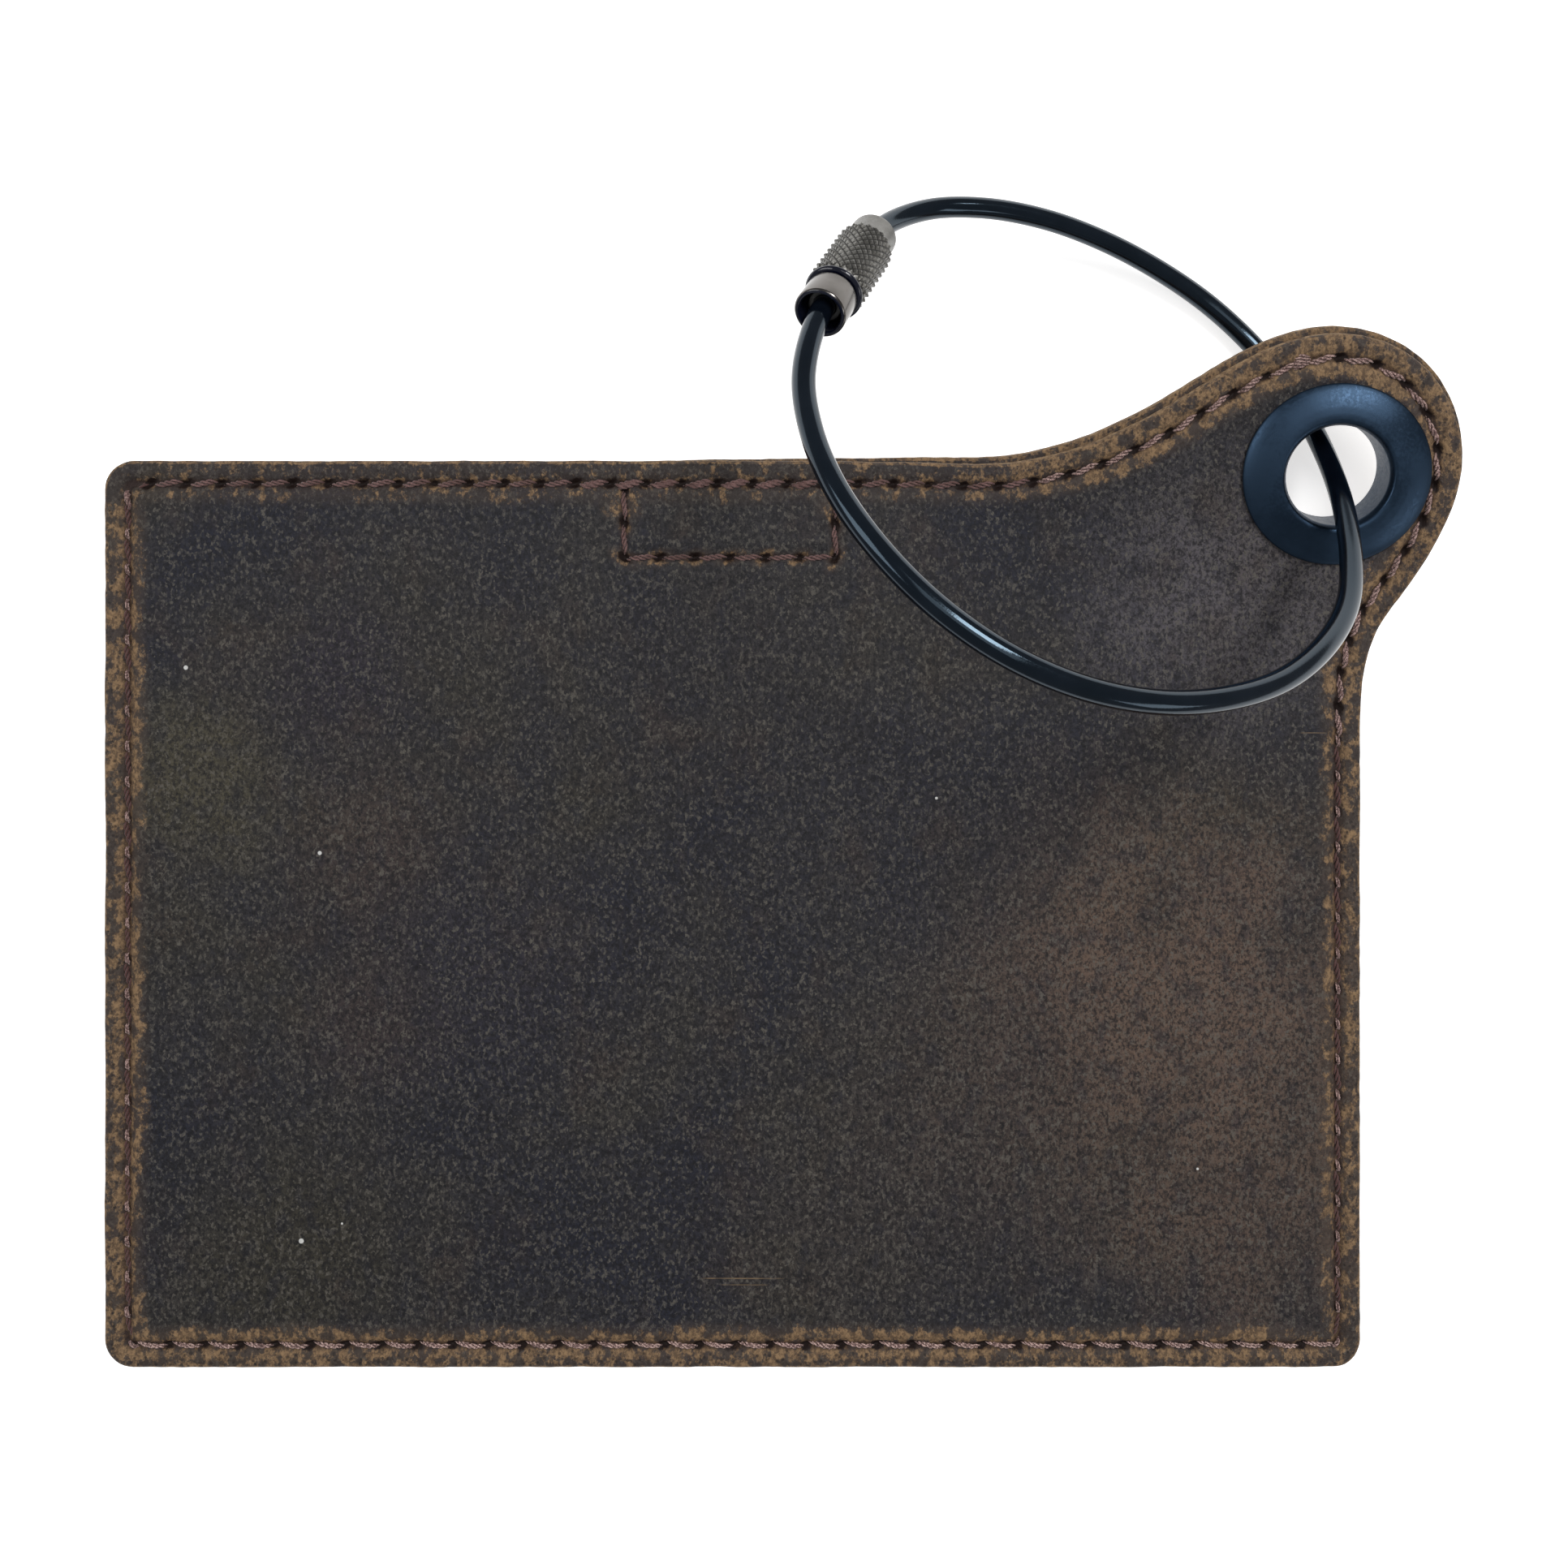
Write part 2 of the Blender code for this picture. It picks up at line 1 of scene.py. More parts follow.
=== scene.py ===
"""Looks of the leather luggage tag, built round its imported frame.

Shapes are worked out in millimetres about the middle of the rectangular body, as the solids are. to_row turns
them into metres in the row frame.
"""

import math

import bpy
import numpy as np
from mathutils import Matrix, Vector, geometry, kdtree, noise


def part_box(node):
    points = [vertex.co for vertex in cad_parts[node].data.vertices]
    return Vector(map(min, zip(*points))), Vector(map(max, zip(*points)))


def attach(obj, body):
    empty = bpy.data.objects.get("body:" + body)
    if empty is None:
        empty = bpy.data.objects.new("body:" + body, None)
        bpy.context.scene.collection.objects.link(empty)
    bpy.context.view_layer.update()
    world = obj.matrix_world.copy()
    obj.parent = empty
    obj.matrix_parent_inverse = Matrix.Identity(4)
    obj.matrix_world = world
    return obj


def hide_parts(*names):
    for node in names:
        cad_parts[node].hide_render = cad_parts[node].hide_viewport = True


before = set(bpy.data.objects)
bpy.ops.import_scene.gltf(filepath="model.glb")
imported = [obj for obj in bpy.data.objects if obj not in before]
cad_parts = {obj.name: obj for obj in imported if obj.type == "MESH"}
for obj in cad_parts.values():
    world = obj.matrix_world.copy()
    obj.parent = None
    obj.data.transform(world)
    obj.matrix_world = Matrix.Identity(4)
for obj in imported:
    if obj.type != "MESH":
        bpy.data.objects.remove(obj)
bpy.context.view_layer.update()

MM = 0.001
UP = np.array((0.0, 0.0, 1.0))


def unit(vectors):
    """Each vector at length 1."""
    return vectors / np.linalg.norm(vectors, axis=-1, keepdims=True)


# Body and leather, in millimetres.
HALF_LENGTH, HALF_WIDTH = 54.0, 39.0
CORNER_RADIUS = 2.5
ARC_REACH = 0.5523 * CORNER_RADIUS
LEATHER = 1.2
POCKET_RIM = 2.3
REAR_LOW = 2.6
FRONT_LOW = REAR_LOW + LEATHER + 0.3
FACE = FRONT_LOW + LEATHER
REAR_REVEAL = 0.5
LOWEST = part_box("front_panel")[0]
MIDDLE = np.array((LOWEST.x / MM + HALF_LENGTH, LOWEST.y / MM + HALF_WIDTH, 0.0))

# The edge's knots: x, y, heading in degrees, and the reach of the curve to the next knot, 0 if it's straight.
EDGE_KNOTS = (
    (-HALF_LENGTH + CORNER_RADIUS, -HALF_WIDTH, 0.0, 0.0),
    (HALF_LENGTH - CORNER_RADIUS, -HALF_WIDTH, 0.0, ARC_REACH),
    (HALF_LENGTH, -HALF_WIDTH + CORNER_RADIUS, 90.0, 0.0),
    (HALF_LENGTH, 16.0, 90.0, 4.1),
    (56.8, 27.3, 56.5, 4.2),
    (61.3, 39.2, 90.0, 6.0),
    (50.6, 50.2, 180.0, 4.9),
    (37.2, 44.2, 212.2, 5.6),
    (21.0, HALF_WIDTH, 180.0, 0.0),
    (-HALF_LENGTH + CORNER_RADIUS, HALF_WIDTH, 180.0, ARC_REACH),
    (-HALF_LENGTH, HALF_WIDTH - CORNER_RADIUS, 270.0, 0.0),
    (-HALF_LENGTH, -HALF_WIDTH + CORNER_RADIUS, 270.0, ARC_REACH),
)

# The ear curls up along CURL_HEADING.
CURL_HEADING = unit(np.array((0.42, 0.9075)))
CURL_SIDE = np.array((-CURL_HEADING[1], CURL_HEADING[0]))
CURL_START, CURL_SPAN, CURL_ANGLE = 39.0, 9.0, math.radians(13.5)
CURL_RADIUS = CURL_SPAN / CURL_ANGLE

STITCH_INSET = 2.0
STITCH_PITCH = 3.05
STITCH_HEIGHT = 0.10
BOX_PITCH = 2.98
HOLE_SLANT = math.radians(16.0)
HOLE_SQUEEZE = 0.72
BOX_LEFT, BOX_RIGHT = -9.3, 8.8
BOX_LOW, BOX_HIGH = 30.65, 36.6
MOUTH_X = 46.0
WINDOW_X, WINDOW_Y = (-44.0, 36.0), (-29.0, 19.0)
WINDOW_CORNER = 2.0
WINDOW_SEAM_OUT = 2.2
THUMB_NOTCH = (48.5, -5.0, 7.5)  # Middle and radius.
EYELET = (51.1, 38.45)
LEATHER_HOLE = 5.0
EAR_CLEARANCE = 13.5
# The second layer stands out more and more from left to right and from low to high in these ranges.
REVEAL_X, REVEAL_Y = (-14.0, 20.0), (16.0, 32.0)
# The seam is pulled right in left of SUNK_LEFT, and right of SUNK_RIGHT where it's lower than SUNK_BELOW.
SUNK_LEFT, SUNK_RIGHT, SUNK_BELOW = -50.5, 51.0, 16.0
BOTTOM_SEAM = -36.0
CARD_LINE_PITCH = 9.0
RULED_MIDDLE, RULED_HALF = -4.0, 34.0

# Screw lock and cable.
SLEEVE_END = np.array((11.77, 56.93, 11.6))
COLLAR_MOUTH = np.array((7.10, 49.00, 21.3))
LOCK_AXIS = unit(COLLAR_MOUTH - SLEEVE_END)
CABLE_RADIUS = 0.9


def on_lock_axis(along):
    return tuple(SLEEVE_END + LOCK_AXIS * along)


CABLE_ROUTE = (
    on_lock_axis(11.3), on_lock_axis(12.6), (6.45, 47.1, 22.6), (5.85, 43.6, 24.9),
    (6.3, 39.9, 27.4), (7.9, 35.6, 30.2), (10.7, 31.4, 32.3), (14.7, 27.3, 33.6),
    (19.5, 24.0, 33.9), (24.7, 21.8, 33.2), (30.3, 20.7, 31.6), (35.7, 20.8, 29.1),
    (40.6, 21.9, 26.0), (44.7, 24.1, 22.5), (47.8, 27.0, 18.6), (49.6, 30.7, 14.5),
    (50.5, 34.9, 10.35), (50.6, 39.2, 6.2), (49.4, 43.9, 3.0), (46.5, 48.6, 1.45),
    (42.3, 52.7, 1.35), (37.4, 55.9, 2.0), (32.2, 58.3, 3.1), (26.7, 59.9, 4.5),
    (21.2, 60.5, 5.9), (17.3, 60.2, 7.0), (14.3, 59.1, 8.7), on_lock_axis(-0.7),
    on_lock_axis(2.5), on_lock_axis(6.3),
)

# Linear colours.
CHARCOAL = (0.030, 0.028, 0.030)
NAVY = (0.016, 0.017, 0.027)
OLIVE = (0.037, 0.033, 0.026)
BROWN = (0.053, 0.038, 0.031)
SPECK = (0.094, 0.086, 0.074)
PIT = (0.0065, 0.0060, 0.0075)
TAN = (0.270, 0.172, 0.092)
TAN_DARK = (0.095, 0.060, 0.036)
RUBBED_BROWN = (0.068, 0.048, 0.037)
RAW_TAN = (0.26, 0.170, 0.088)
THREAD = (0.075, 0.030, 0.028)
THREAD_LIGHT = (0.20, 0.105, 0.095)
THREAD_PALE = (0.66, 0.46, 0.41)
NEEDLE_HOLE_SHADE = (0.009, 0.0035, 0.0025)


def to_row(points):
    return (np.asarray(points, float) + MIDDLE) * MM


# Camera, straight above the face.


def make_camera():
    data = bpy.data.cameras.new("camera")
    data.lens = 34.8
    data.sensor_width = 36.0
    data.shift_y = -0.143
    camera = bpy.data.objects.new("camera", data)
    camera.location = to_row((4.42, 30.45, FACE + 130.0))
    bpy.context.scene.collection.objects.link(camera)
    bpy.context.scene.camera = camera


# Mesh helpers.


def add_mesh(name, verts, faces, smooth=True):
    """A mesh object from points in the row frame, in metres."""
    mesh = bpy.data.meshes.new(name)
    mesh.from_pydata(np.asarray(verts).tolist(), [], faces)
    mesh.validate()
    if smooth:
        mesh.shade_smooth()
    obj = bpy.data.objects.new(name, mesh)
    bpy.context.scene.collection.objects.link(obj)
    return obj


def set_attribute(obj, name, values):
    layer = obj.data.attributes.new(name, "FLOAT", "POINT")
    layer.data.foreach_set("value", np.asarray(values, np.float32))


def install(obj, body, material, solid):
    """Rides the piece on its body, hides the solid it stands for, and paints it."""
    obj.data.materials.append(material)
    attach(obj, body)
    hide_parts(solid)
    return obj


def frames_along(path):
    """Two unit normals at each point of a path, without twist."""
    tangents = unit(np.gradient(path, axis=0))
    side = np.cross(tangents[0], UP)
    if np.linalg.norm(side) < 0.1:
        side = np.cross(tangents[0], (1.0, 0.0, 0.0))
    sides = []
    for tangent in tangents:
        side = unit(side - tangent * side.dot(tangent))
        sides.append(side)
    return np.array(sides), np.cross(tangents, sides)


def grid_faces(rows, columns, closed=True):
    """Quads over rows of points that each close on themselves. If closed, the last row meets the first."""
    faces = []
    for i in range(rows if closed else rows - 1):
        n = (i + 1) % rows
        for k in range(columns):
            m = (k + 1) % columns
            faces.append([i * columns + k, i * columns + m, n * columns + m, n * columns + k])
    return faces


def tube_mesh(path, radii, around):
    """Points and faces of a tube with flat ends."""
    sides, ups = frames_along(path)
    turn = np.linspace(0, 2 * math.pi, around, endpoint=False)[None, :, None]
    ring = np.cos(turn) * sides[:, None, :] + np.sin(turn) * ups[:, None, :]
    verts = (path[:, None, :] + ring * radii[:, None, None]).reshape(-1, 3)
    faces = grid_faces(len(path), around, closed=False)
    ends = [list(range(around))[::-1], [(len(path) - 1) * around + k for k in range(around)]]
    return verts, faces + ends


def join(parts):
    """One list of points and faces from several."""
    verts, faces, first = [], [], 0
    for points, polygons in parts:
        verts.append(points)
        faces += [[index + first for index in polygon] for polygon in polygons]
        first += len(points)
    return np.concatenate(verts), faces


def smoothstep(value, start, end):
    t = np.clip((value - start) / (end - start), 0.0, 1.0)
    return t * t * (3 - 2 * t)


# Materials.


class Paint:
    """A node material in the making. A node's input is a number, a colour or another node's output."""

    def __init__(self, name):
        self.material = bpy.data.materials.new(name)
        self.material.use_nodes = True
        self.tree = self.material.node_tree
        self.surface = self.tree.nodes["Principled BSDF"]
        self.place = self.place_mm()

    def feed(self, made, inputs):
        for key, value in inputs.items():
            if isinstance(value, bpy.types.NodeSocket):
                self.tree.links.new(value, made.inputs[key])
            else:
                made.inputs[key].default_value = value
        return made.outputs

    def node(self, kind, inputs, **settings):
        """Adds a node and gives its outputs."""
        made = self.tree.nodes.new(kind)
        for key, value in settings.items():
            setattr(made, key, value)
        return self.feed(made, inputs)

    def place_mm(self, shift=(0.0, 0.0, 0.0), stretch=(1.0, 1.0, 1.0)):
        """The point on the piece in millimetres, in its body's frame."""
        point = self.node("ShaderNodeTexCoord", {})["Object"]
        scale = tuple(share / MM for share in stretch)
        return self.node("ShaderNodeMapping", {"Vector": point, "Location": shift, "Scale": scale})["Vector"]

    def calc(self, operation, a, b=0.0):
        return self.node("ShaderNodeMath", {0: a, 1: b}, operation=operation)[0]

    def plus(self, a, b):
        return self.calc("ADD", a, b)

    def times(self, a, b):
        return self.calc("MULTIPLY", a, b)

    def off(self, a, b):
        """How far a is from b, either way."""
        return self.calc("ABSOLUTE", self.calc("SUBTRACT", a, b))

    def step(self, value, start, end, low=0.0, high=1.0):
        """A smooth step from low, where the value is start, to high, where it is end."""
        inputs = {"Value": value, "From Min": start, "From Max": end, "To Min": low, "To Max": high}
        return self.node("ShaderNodeMapRange", inputs, interpolation_type="SMOOTHSTEP")["Result"]

    def mix(self, share, under, over):
        """One colour with a share of another over it."""
        inputs = {0: share}
        for key, colour in ((6, under), (7, over)):
            inputs[key] = colour if isinstance(colour, bpy.types.NodeSocket) else (*colour, 1.0)
        return self.node("ShaderNodeMix", inputs, data_type="RGBA")[2]

    def coat(self, colour, *coats):
        """The colour under coats of (texture, start, end, most, colour), each as strong as a smooth step."""
        for texture, start, end, most, over in coats:
            colour = self.mix(self.step(texture, start, end, 0.0, most), colour, over)
        return colour

    def noise(self, scale, detail, roughness, distortion=0.0, place=None, output="Fac"):
        inputs = {"Scale": scale, "Detail": detail, "Roughness": roughness, "Distortion": distortion}
        inputs["Vector"] = self.place if place is None else place
        return self.node("ShaderNodeTexNoise", inputs)[output]

    def flakes(self, scale, place):
        """A random value from 0 to 1 for each small ragged cell."""
        shifted = self.noise(scale * 1.3, 2.0, 0.6, place=place, output="Color")
        inputs = {0: shifted, 1: (0.22, 0.22, 0.22), 2: place}
        moved = self.node("ShaderNodeVectorMath", inputs, operation="MULTIPLY_ADD")["Vector"]
        cells = self.node("ShaderNodeTexVoronoi", {"Vector": moved, "Scale": scale})["Color"]
        return self.node("ShaderNodeSeparateColor", {"Color": cells})["Red"]

    def distance(self, x, y):
        """The distance to a place on the face, in millimetres."""
        inputs = {0: self.place, 1: (x + MIDDLE[0], y + MIDDLE[1], FACE)}
        return self.node("ShaderNodeVectorMath", inputs, operation="DISTANCE")["Value"]

    def attribute(self, name):
        return self.node("ShaderNodeAttribute", {}, attribute_name=name)["Fac"]

    def bump(self, height, depth_mm, strength, under=None):
        inputs = {"Strength": strength, "Distance": depth_mm * MM, "Height": height}
        if under is not None:
            inputs["Normal"] = under
        return self.node("ShaderNodeBump", inputs)["Normal"]

    def finish(self, colour, roughness, relief, **constants):
        """Feeds the shader. A constant's name has _ where its socket's has a space."""
        sockets = {"Base Color": colour, "Roughness": roughness, "Normal": relief}
        sockets.update({name.replace("_", " "): value for name, value in constants.items()})
        self.feed(self.surface, sockets)
        return self.material


# Large soft areas of the face that lean towards another colour: x, y, radius, colour, strength.
PATCHES = (
    (38.0, -9.0, 24.0, (0.128, 0.084, 0.062), 0.9),
    (44.0, -27.0, 13.0, (0.105, 0.070, 0.052), 0.6),
    (20.0, -18.0, 16.0, (0.056, 0.043, 0.038), 0.6),
    (-31.0, 6.0, 9.0, (0.070, 0.048, 0.038), 0.55),
    (-31.0, -9.0, 8.0, (0.066, 0.045, 0.036), 0.5),
    (-46.0, 12.0, 10.0, (0.076, 0.066, 0.040), 0.7),
    (-34.0, 20.0, 9.0, (0.026, 0.022, 0.034), 0.8),
    (-20.0, -4.0, 12.0, (0.030, 0.027, 0.036), 0.7),
    (-38.0, -30.0, 14.0, (0.040, 0.035, 0.022), 0.7),
    (14.0, 8.0, 16.0, (0.030, 0.029, 0.036), 0.7),
    (42.0, 28.0, 15.0, (0.098, 0.088, 0.098), 0.85),
    (0.0, 25.0, 14.0, (0.036, 0.033, 0.036), 0.5),
    (8.0, -28.0, 13.0, (0.056, 0.046, 0.038), 0.5),
)

# Specks of lint: x, y, radius.
LINT = (
    (-46.9, 21.2, 0.22),
    (-35.4, 5.3, 0.2),
    (-37.0, -28.0, 0.26),
    (17.5, 10.0, 0.14),
    (39.9, -21.8, 0.13),
    (-33.5, -26.5, 0.12),
)
# Fine scratches on the face: x from and to, y, half width.
SCRATCHES = ((-3.0, 4.6, -31.2, 0.07), (-1.4, 3.4, -31.75, 0.04), (48.6, 51.0, 15.6, 0.05))
SCRATCH = (0.16, 0.11, 0.065)
LINT_WHITE = (0.62, 0.62, 0.60)
EDGE_PIT = (0.016, 0.012, 0.011)
SEAM_GROOVE_SHADE = (0.022, 0.010, 0.008)
RAW_DARK = (0.085, 0.045, 0.020)
RAW_STAIN = (0.030, 0.020, 0.016)
THREAD_DIRT = (0.075, 0.030, 0.024)
SUNK_THREAD_SHADE = (0.055, 0.013, 0.010)
THREAD_HOLE_SHADE = (0.030, 0.010, 0.008)


class LeatherPaint(Paint):
    """Waxed, distressed leather, rubbed to tan at its edges and stitches and fibrous where it is cut, with
    painted shade along its seams.
    """

    def __init__(self, name):
        super().__init__(name)
        streaky = self.place_mm((7.0, 3.0, 1.0), (1.0, 0.72, 1.0))
        self.blotches = self.noise(0.16, 5.0, 0.62, place=streaky)
        self.mottle = self.noise(0.62, 4.0, 0.6, place=streaky)
        self.flecks = self.noise(0.95, 6.0, 0.70, place=streaky)
        self.grain = self.noise(2.9, 4.0, 0.75, place=streaky)
        self.fine = self.noise(5.5, 3.0, 0.65)
        self.flake = self.flakes(4.8, streaky)
        self.pores = self.node("ShaderNodeTexVoronoi", {"Vector": self.place, "Scale": 1.9})["Distance"]
        self.edge, self.seam, self.hole = (self.attribute(key) for key in ("edge", "seam", "hole"))

    def ragged(self, value, texture, reach):
        """The value, made uneven by a texture."""
        return self.plus(value, self.times(self.calc("SUBTRACT", texture, 0.5), reach))

    def hide(self, patches):
        """The waxed face: clouds, patches and blotches, dark grain and pale flakes."""
        clouds = self.noise(0.050, 5.0, 0.6, 0.6)
        colour = self.coat(NAVY, (clouds, 0.36, 0.56, 1.0, CHARCOAL), (clouds, 0.50, 0.72, 1.0, OLIVE))
        for x, y, radius, lean, strength in patches:
            away = self.plus(self.distance(x, y), self.times(self.blotches, radius * 1.2))
            colour = self.coat(colour, (away, radius * 1.75, radius * 0.75, strength, lean))
        colour = self.coat(
            colour,
            (self.blotches, 0.50, 0.70, 0.5, BROWN),
            (self.mottle, 0.52, 0.34, 0.5, NAVY),
            (self.grain, 0.53, 0.38, 0.8, PIT),
            (self.flake, 0.45, 0.05, 0.5, PIT),
        )
        pale = self.times(self.step(self.flake, 0.50, 1.0), self.step(self.grain, 0.40, 0.62, 0.08, 1.0))
        return self.coat(self.mix(pale, colour, SPECK), (self.fine, 0.50, 0.34, 0.5, PIT))

    def rubbing(self):
        """How far the leather is rubbed along its edges, beside its seams and round its needle holes."""
        wear = self.attribute("wear")
        rubbed = self.step(self.ragged(self.edge, self.blotches, 6.0), 3.6, 0.5, 0.0, 0.58)
        beside = self.step(self.ragged(self.seam, self.blotches, 2.4), 2.3, 0.7, 0.0, 0.70)
        beside = self.times(beside, self.step(self.edge, 5.5, 4.0))
        rubbed = self.times(self.calc("MAXIMUM", rubbed, beside), wear)
        at_hole = self.step(self.ragged(self.hole, self.blotches, 1.5), 1.5, 0.4, 0.0, 0.55)
        at_cut = self.step(self.edge, 0.42, 0.22, 0.0, 0.75)
        return self.calc("MAXIMUM", self.calc("MAXIMUM", rubbed, at_hole), at_cut)

    def rub(self, colour, rubbed, worn):
        """The colour with rubbed brown over it, tan where the wax has worn off, dark pits, and painted shade
        along the seams' grooves.
        """
        colour = self.mix(self.times(rubbed, 0.9), colour, RUBBED_BROWN)
        tan = self.coat(TAN_DARK, (self.grain, 0.36, 0.60, 1.0, TAN), (self.flake, 0.5, 0.1, 0.5, TAN_DARK))
        colour = self.mix(self.times(worn, 0.92), colour, tan)
        pitted = self.times(self.step(self.pores, 0.34, 0.14, 0.0, 0.7), self.step(self.edge, 4.5, 1.0))
        # Painted shade along the seams' grooves.
        return self.coat(self.mix(pitted, colour, EDGE_PIT), (self.seam, 0.50, 0.15, 0.7, SEAM_GROOVE_SHADE))

    def scratch(self, colour, start, end, y, half):
        axes = self.node("ShaderNodeSeparateXYZ", {0: self.place})
        reach = (end - start) / 2
        line = self.step(self.off(axes["Y"], y + MIDDLE[1]), half, half * 0.4)
        along = self.step(self.off(axes["X"], (start + end) / 2 + MIDDLE[0]), reach, reach * 0.7)
        line = self.times(self.times(line, along), self.step(self.mottle, 0.3, 0.6, 0.2, 0.9))
        return self.mix(line, colour, SCRATCH)

    def cut_faces(self, colour):
        """The colour, or bare fibres on a raw face."""
        fibres = self.noise(2.2, 5.0, 0.7, place=self.place_mm((0.0, 0.0, 5.0), (1.0, 1.0, 0.45)))
        stain = (self.blotches, 0.60, 0.75, 0.8, RAW_STAIN)
        bare = self.coat(RAW_DARK, (fibres, 0.36, 0.62, 1.0, RAW_TAN), stain)
        raw = self.ragged(self.attribute("raw"), self.mottle, 1.0)
        return self.coat(colour, (raw, 0.35, 0.75, 1.0, bare))


def leather(name, patches=(), scratches=(), lint=()):
    paint = LeatherPaint(name)
    rubbed = paint.rubbing()
    broken = paint.step(paint.ragged(rubbed, paint.flecks, 3.8), 0.42, 0.80)
    worn = paint.times(broken, paint.step(rubbed, 0.05, 0.35))
    colour = paint.rub(paint.hide(patches), rubbed, worn)
    for scratch in scratches:
        colour = paint.scratch(colour, *scratch)
    colour = paint.cut_faces(colour)
    for x, y, radius in lint:
        colour = paint.coat(colour, (paint.distance(x, y), radius, radius * 0.7, 0.9, LINT_WHITE))
    # Painted shade in each needle hole, where the sheet itself only dips.
    colour = paint.coat(colour, (paint.ragged(paint.hole, paint.flecks, 1.3), 0.66, 0.36, 1.0, NEEDLE_HOLE_SHADE))
    rough = paint.plus(paint.step(paint.grain, 0.3, 0.7, 0.52, 0.70), paint.times(worn, 0.12))
    relief = paint.bump(paint.grain, 0.11, 0.8, paint.bump(paint.pores, 0.06, 0.5))
    relief = paint.bump(paint.fine, 0.05, 0.7, relief)
    return paint.finish(colour, rough, relief, Specular_IOR_Level=0.22)


def thread_material():
    paint = Paint("thread_finish")
    fibres, dirt = paint.noise(6.0, 4.0, 0.65), paint.noise(0.45, 3.0, 0.6)
    colour = paint.coat(THREAD, (fibres, 0.35, 0.68, 1.0, THREAD_LIGHT))
    colour = paint.coat(colour, (dirt, 0.44, 0.66, 0.75, THREAD_DIRT))
    pale = paint.times(paint.attribute("pale"), paint.step(fibres, 0.45, 0.57, 0.05, 1.0))
    colour = paint.mix(pale, colour, THREAD_PALE)
    # Painted shade on stitches sunk into their groove.
    colour = paint.mix(paint.times(paint.attribute("sunk"), 0.85), colour, SUNK_THREAD_SHADE)
    # Painted shade where each stitch dives down into its needle hole.
    colour = paint.coat(colour, (paint.attribute("depth"), 0.0, 1.0, 1.0, THREAD_HOLE_SHADE))
    rough = paint.step(fibres, 0.3, 0.7, 0.5, 0.75)
    return paint.finish(colour, rough, paint.bump(fibres, 0.05, 0.7), Sheen_Weight=0.25)


def coated(name, dark, light, roughness, metallic=0.0, scale=1.2, depth=0.01, tint=(1.0, 1.0, 1.0)):
    """Paint, plastic or plated metal with slight unevenness in colour, gloss and surface."""
    paint = Paint(name)
    broad, fine = paint.noise(scale * 0.25, 3.0, 0.55), paint.noise(scale * 5.0, 3.0, 0.6)
    colour = paint.coat(dark, (broad, 0.35, 0.65, 1.0, light), (fine, 0.55, 0.75, 0.3, light))
    rough = paint.step(paint.plus(broad, fine), 0.8, 1.2, roughness * 0.85, roughness * 1.2)
    relief = paint.bump(fine, depth, 0.6)
    return paint.finish(colour, rough, relief, Metallic=metallic, Specular_Tint=(*tint, 1.0))


def knurled_metal():
    paint = Paint("sleeve_metal_and_painted_shade")
    broad, fine = paint.noise(0.5, 3.0, 0.6), paint.noise(7.0, 3.0, 0.6)
    relief = paint.attribute("relief")
    # Painted shade in the knurl's grooves and painted highlights on its ridges, both read from the relief
    # attribute.
    colour = paint.coat(
        (0.13, 0.126, 0.115),
        (broad, 0.35, 0.65, 1.0, (0.185, 0.18, 0.168)),
        (relief, 0.38, 0.0, 0.9, (0.018, 0.017, 0.017)),
        (relief, 0.55, 1.0, 0.45, (0.42, 0.41, 0.39)),
    )
    rough = paint.step(fine, 0.3, 0.7, 0.32, 0.48)
    return paint.finish(colour, rough, paint.bump(fine, 0.012, 0.6), Metallic=1.0)


def clear_plastic():
    paint = Paint("clear_sheet_finish")
    haze = paint.noise(0.12, 4.0, 0.6)
    colour = paint.coat((0.86, 0.88, 0.86), (haze, 0.35, 0.65, 1.0, (0.93, 0.94, 0.92)))
    rough = paint.step(haze, 0.3, 0.7, 0.06, 0.16)
    return paint.finish(colour, rough, paint.bump(haze, 0.1, 0.3), Transmission_Weight=1.0, IOR=1.3)


def card_material():
    """Plain card with ruled lines to write on."""
    paint = Paint("card_finish")
    fibres = paint.noise(3.0, 4.0, 0.6)
    axes = paint.node("ShaderNodeSeparateXYZ", {0: paint.place})
    colour = paint.coat((0.80, 0.76, 0.66), (fibres, 0.35, 0.7, 1.0, (0.88, 0.85, 0.76)))
    row = paint.calc("PINGPONG", paint.plus(axes["Y"], 200.0), CARD_LINE_PITCH / 2)
    across = paint.off(axes["X"], MIDDLE[0] + RULED_MIDDLE)
    inside = paint.step(across, RULED_HALF, RULED_HALF - 0.5, 0.0, 0.8)
    line = paint.times(paint.step(row, 0.22, 0.12), inside)
    colour = paint.mix(line, colour, (0.16, 0.17, 0.2))
    rough = paint.step(fibres, 0.3, 0.7, 0.75, 0.9)
    return paint.finish(colour, rough, paint.bump(fibres, 0.02, 0.5))


# Outlines, in millimetres. Each is closed, with the leather on its left.


def tidy_loop(points, closest=0.12):
    kept = []
    for point in points:
        if not kept or math.dist(kept[-1], point) > closest:
            kept.append(tuple(point))
    if math.dist(kept[0], kept[-1]) <= closest:
        kept.pop()
    return np.array(kept)


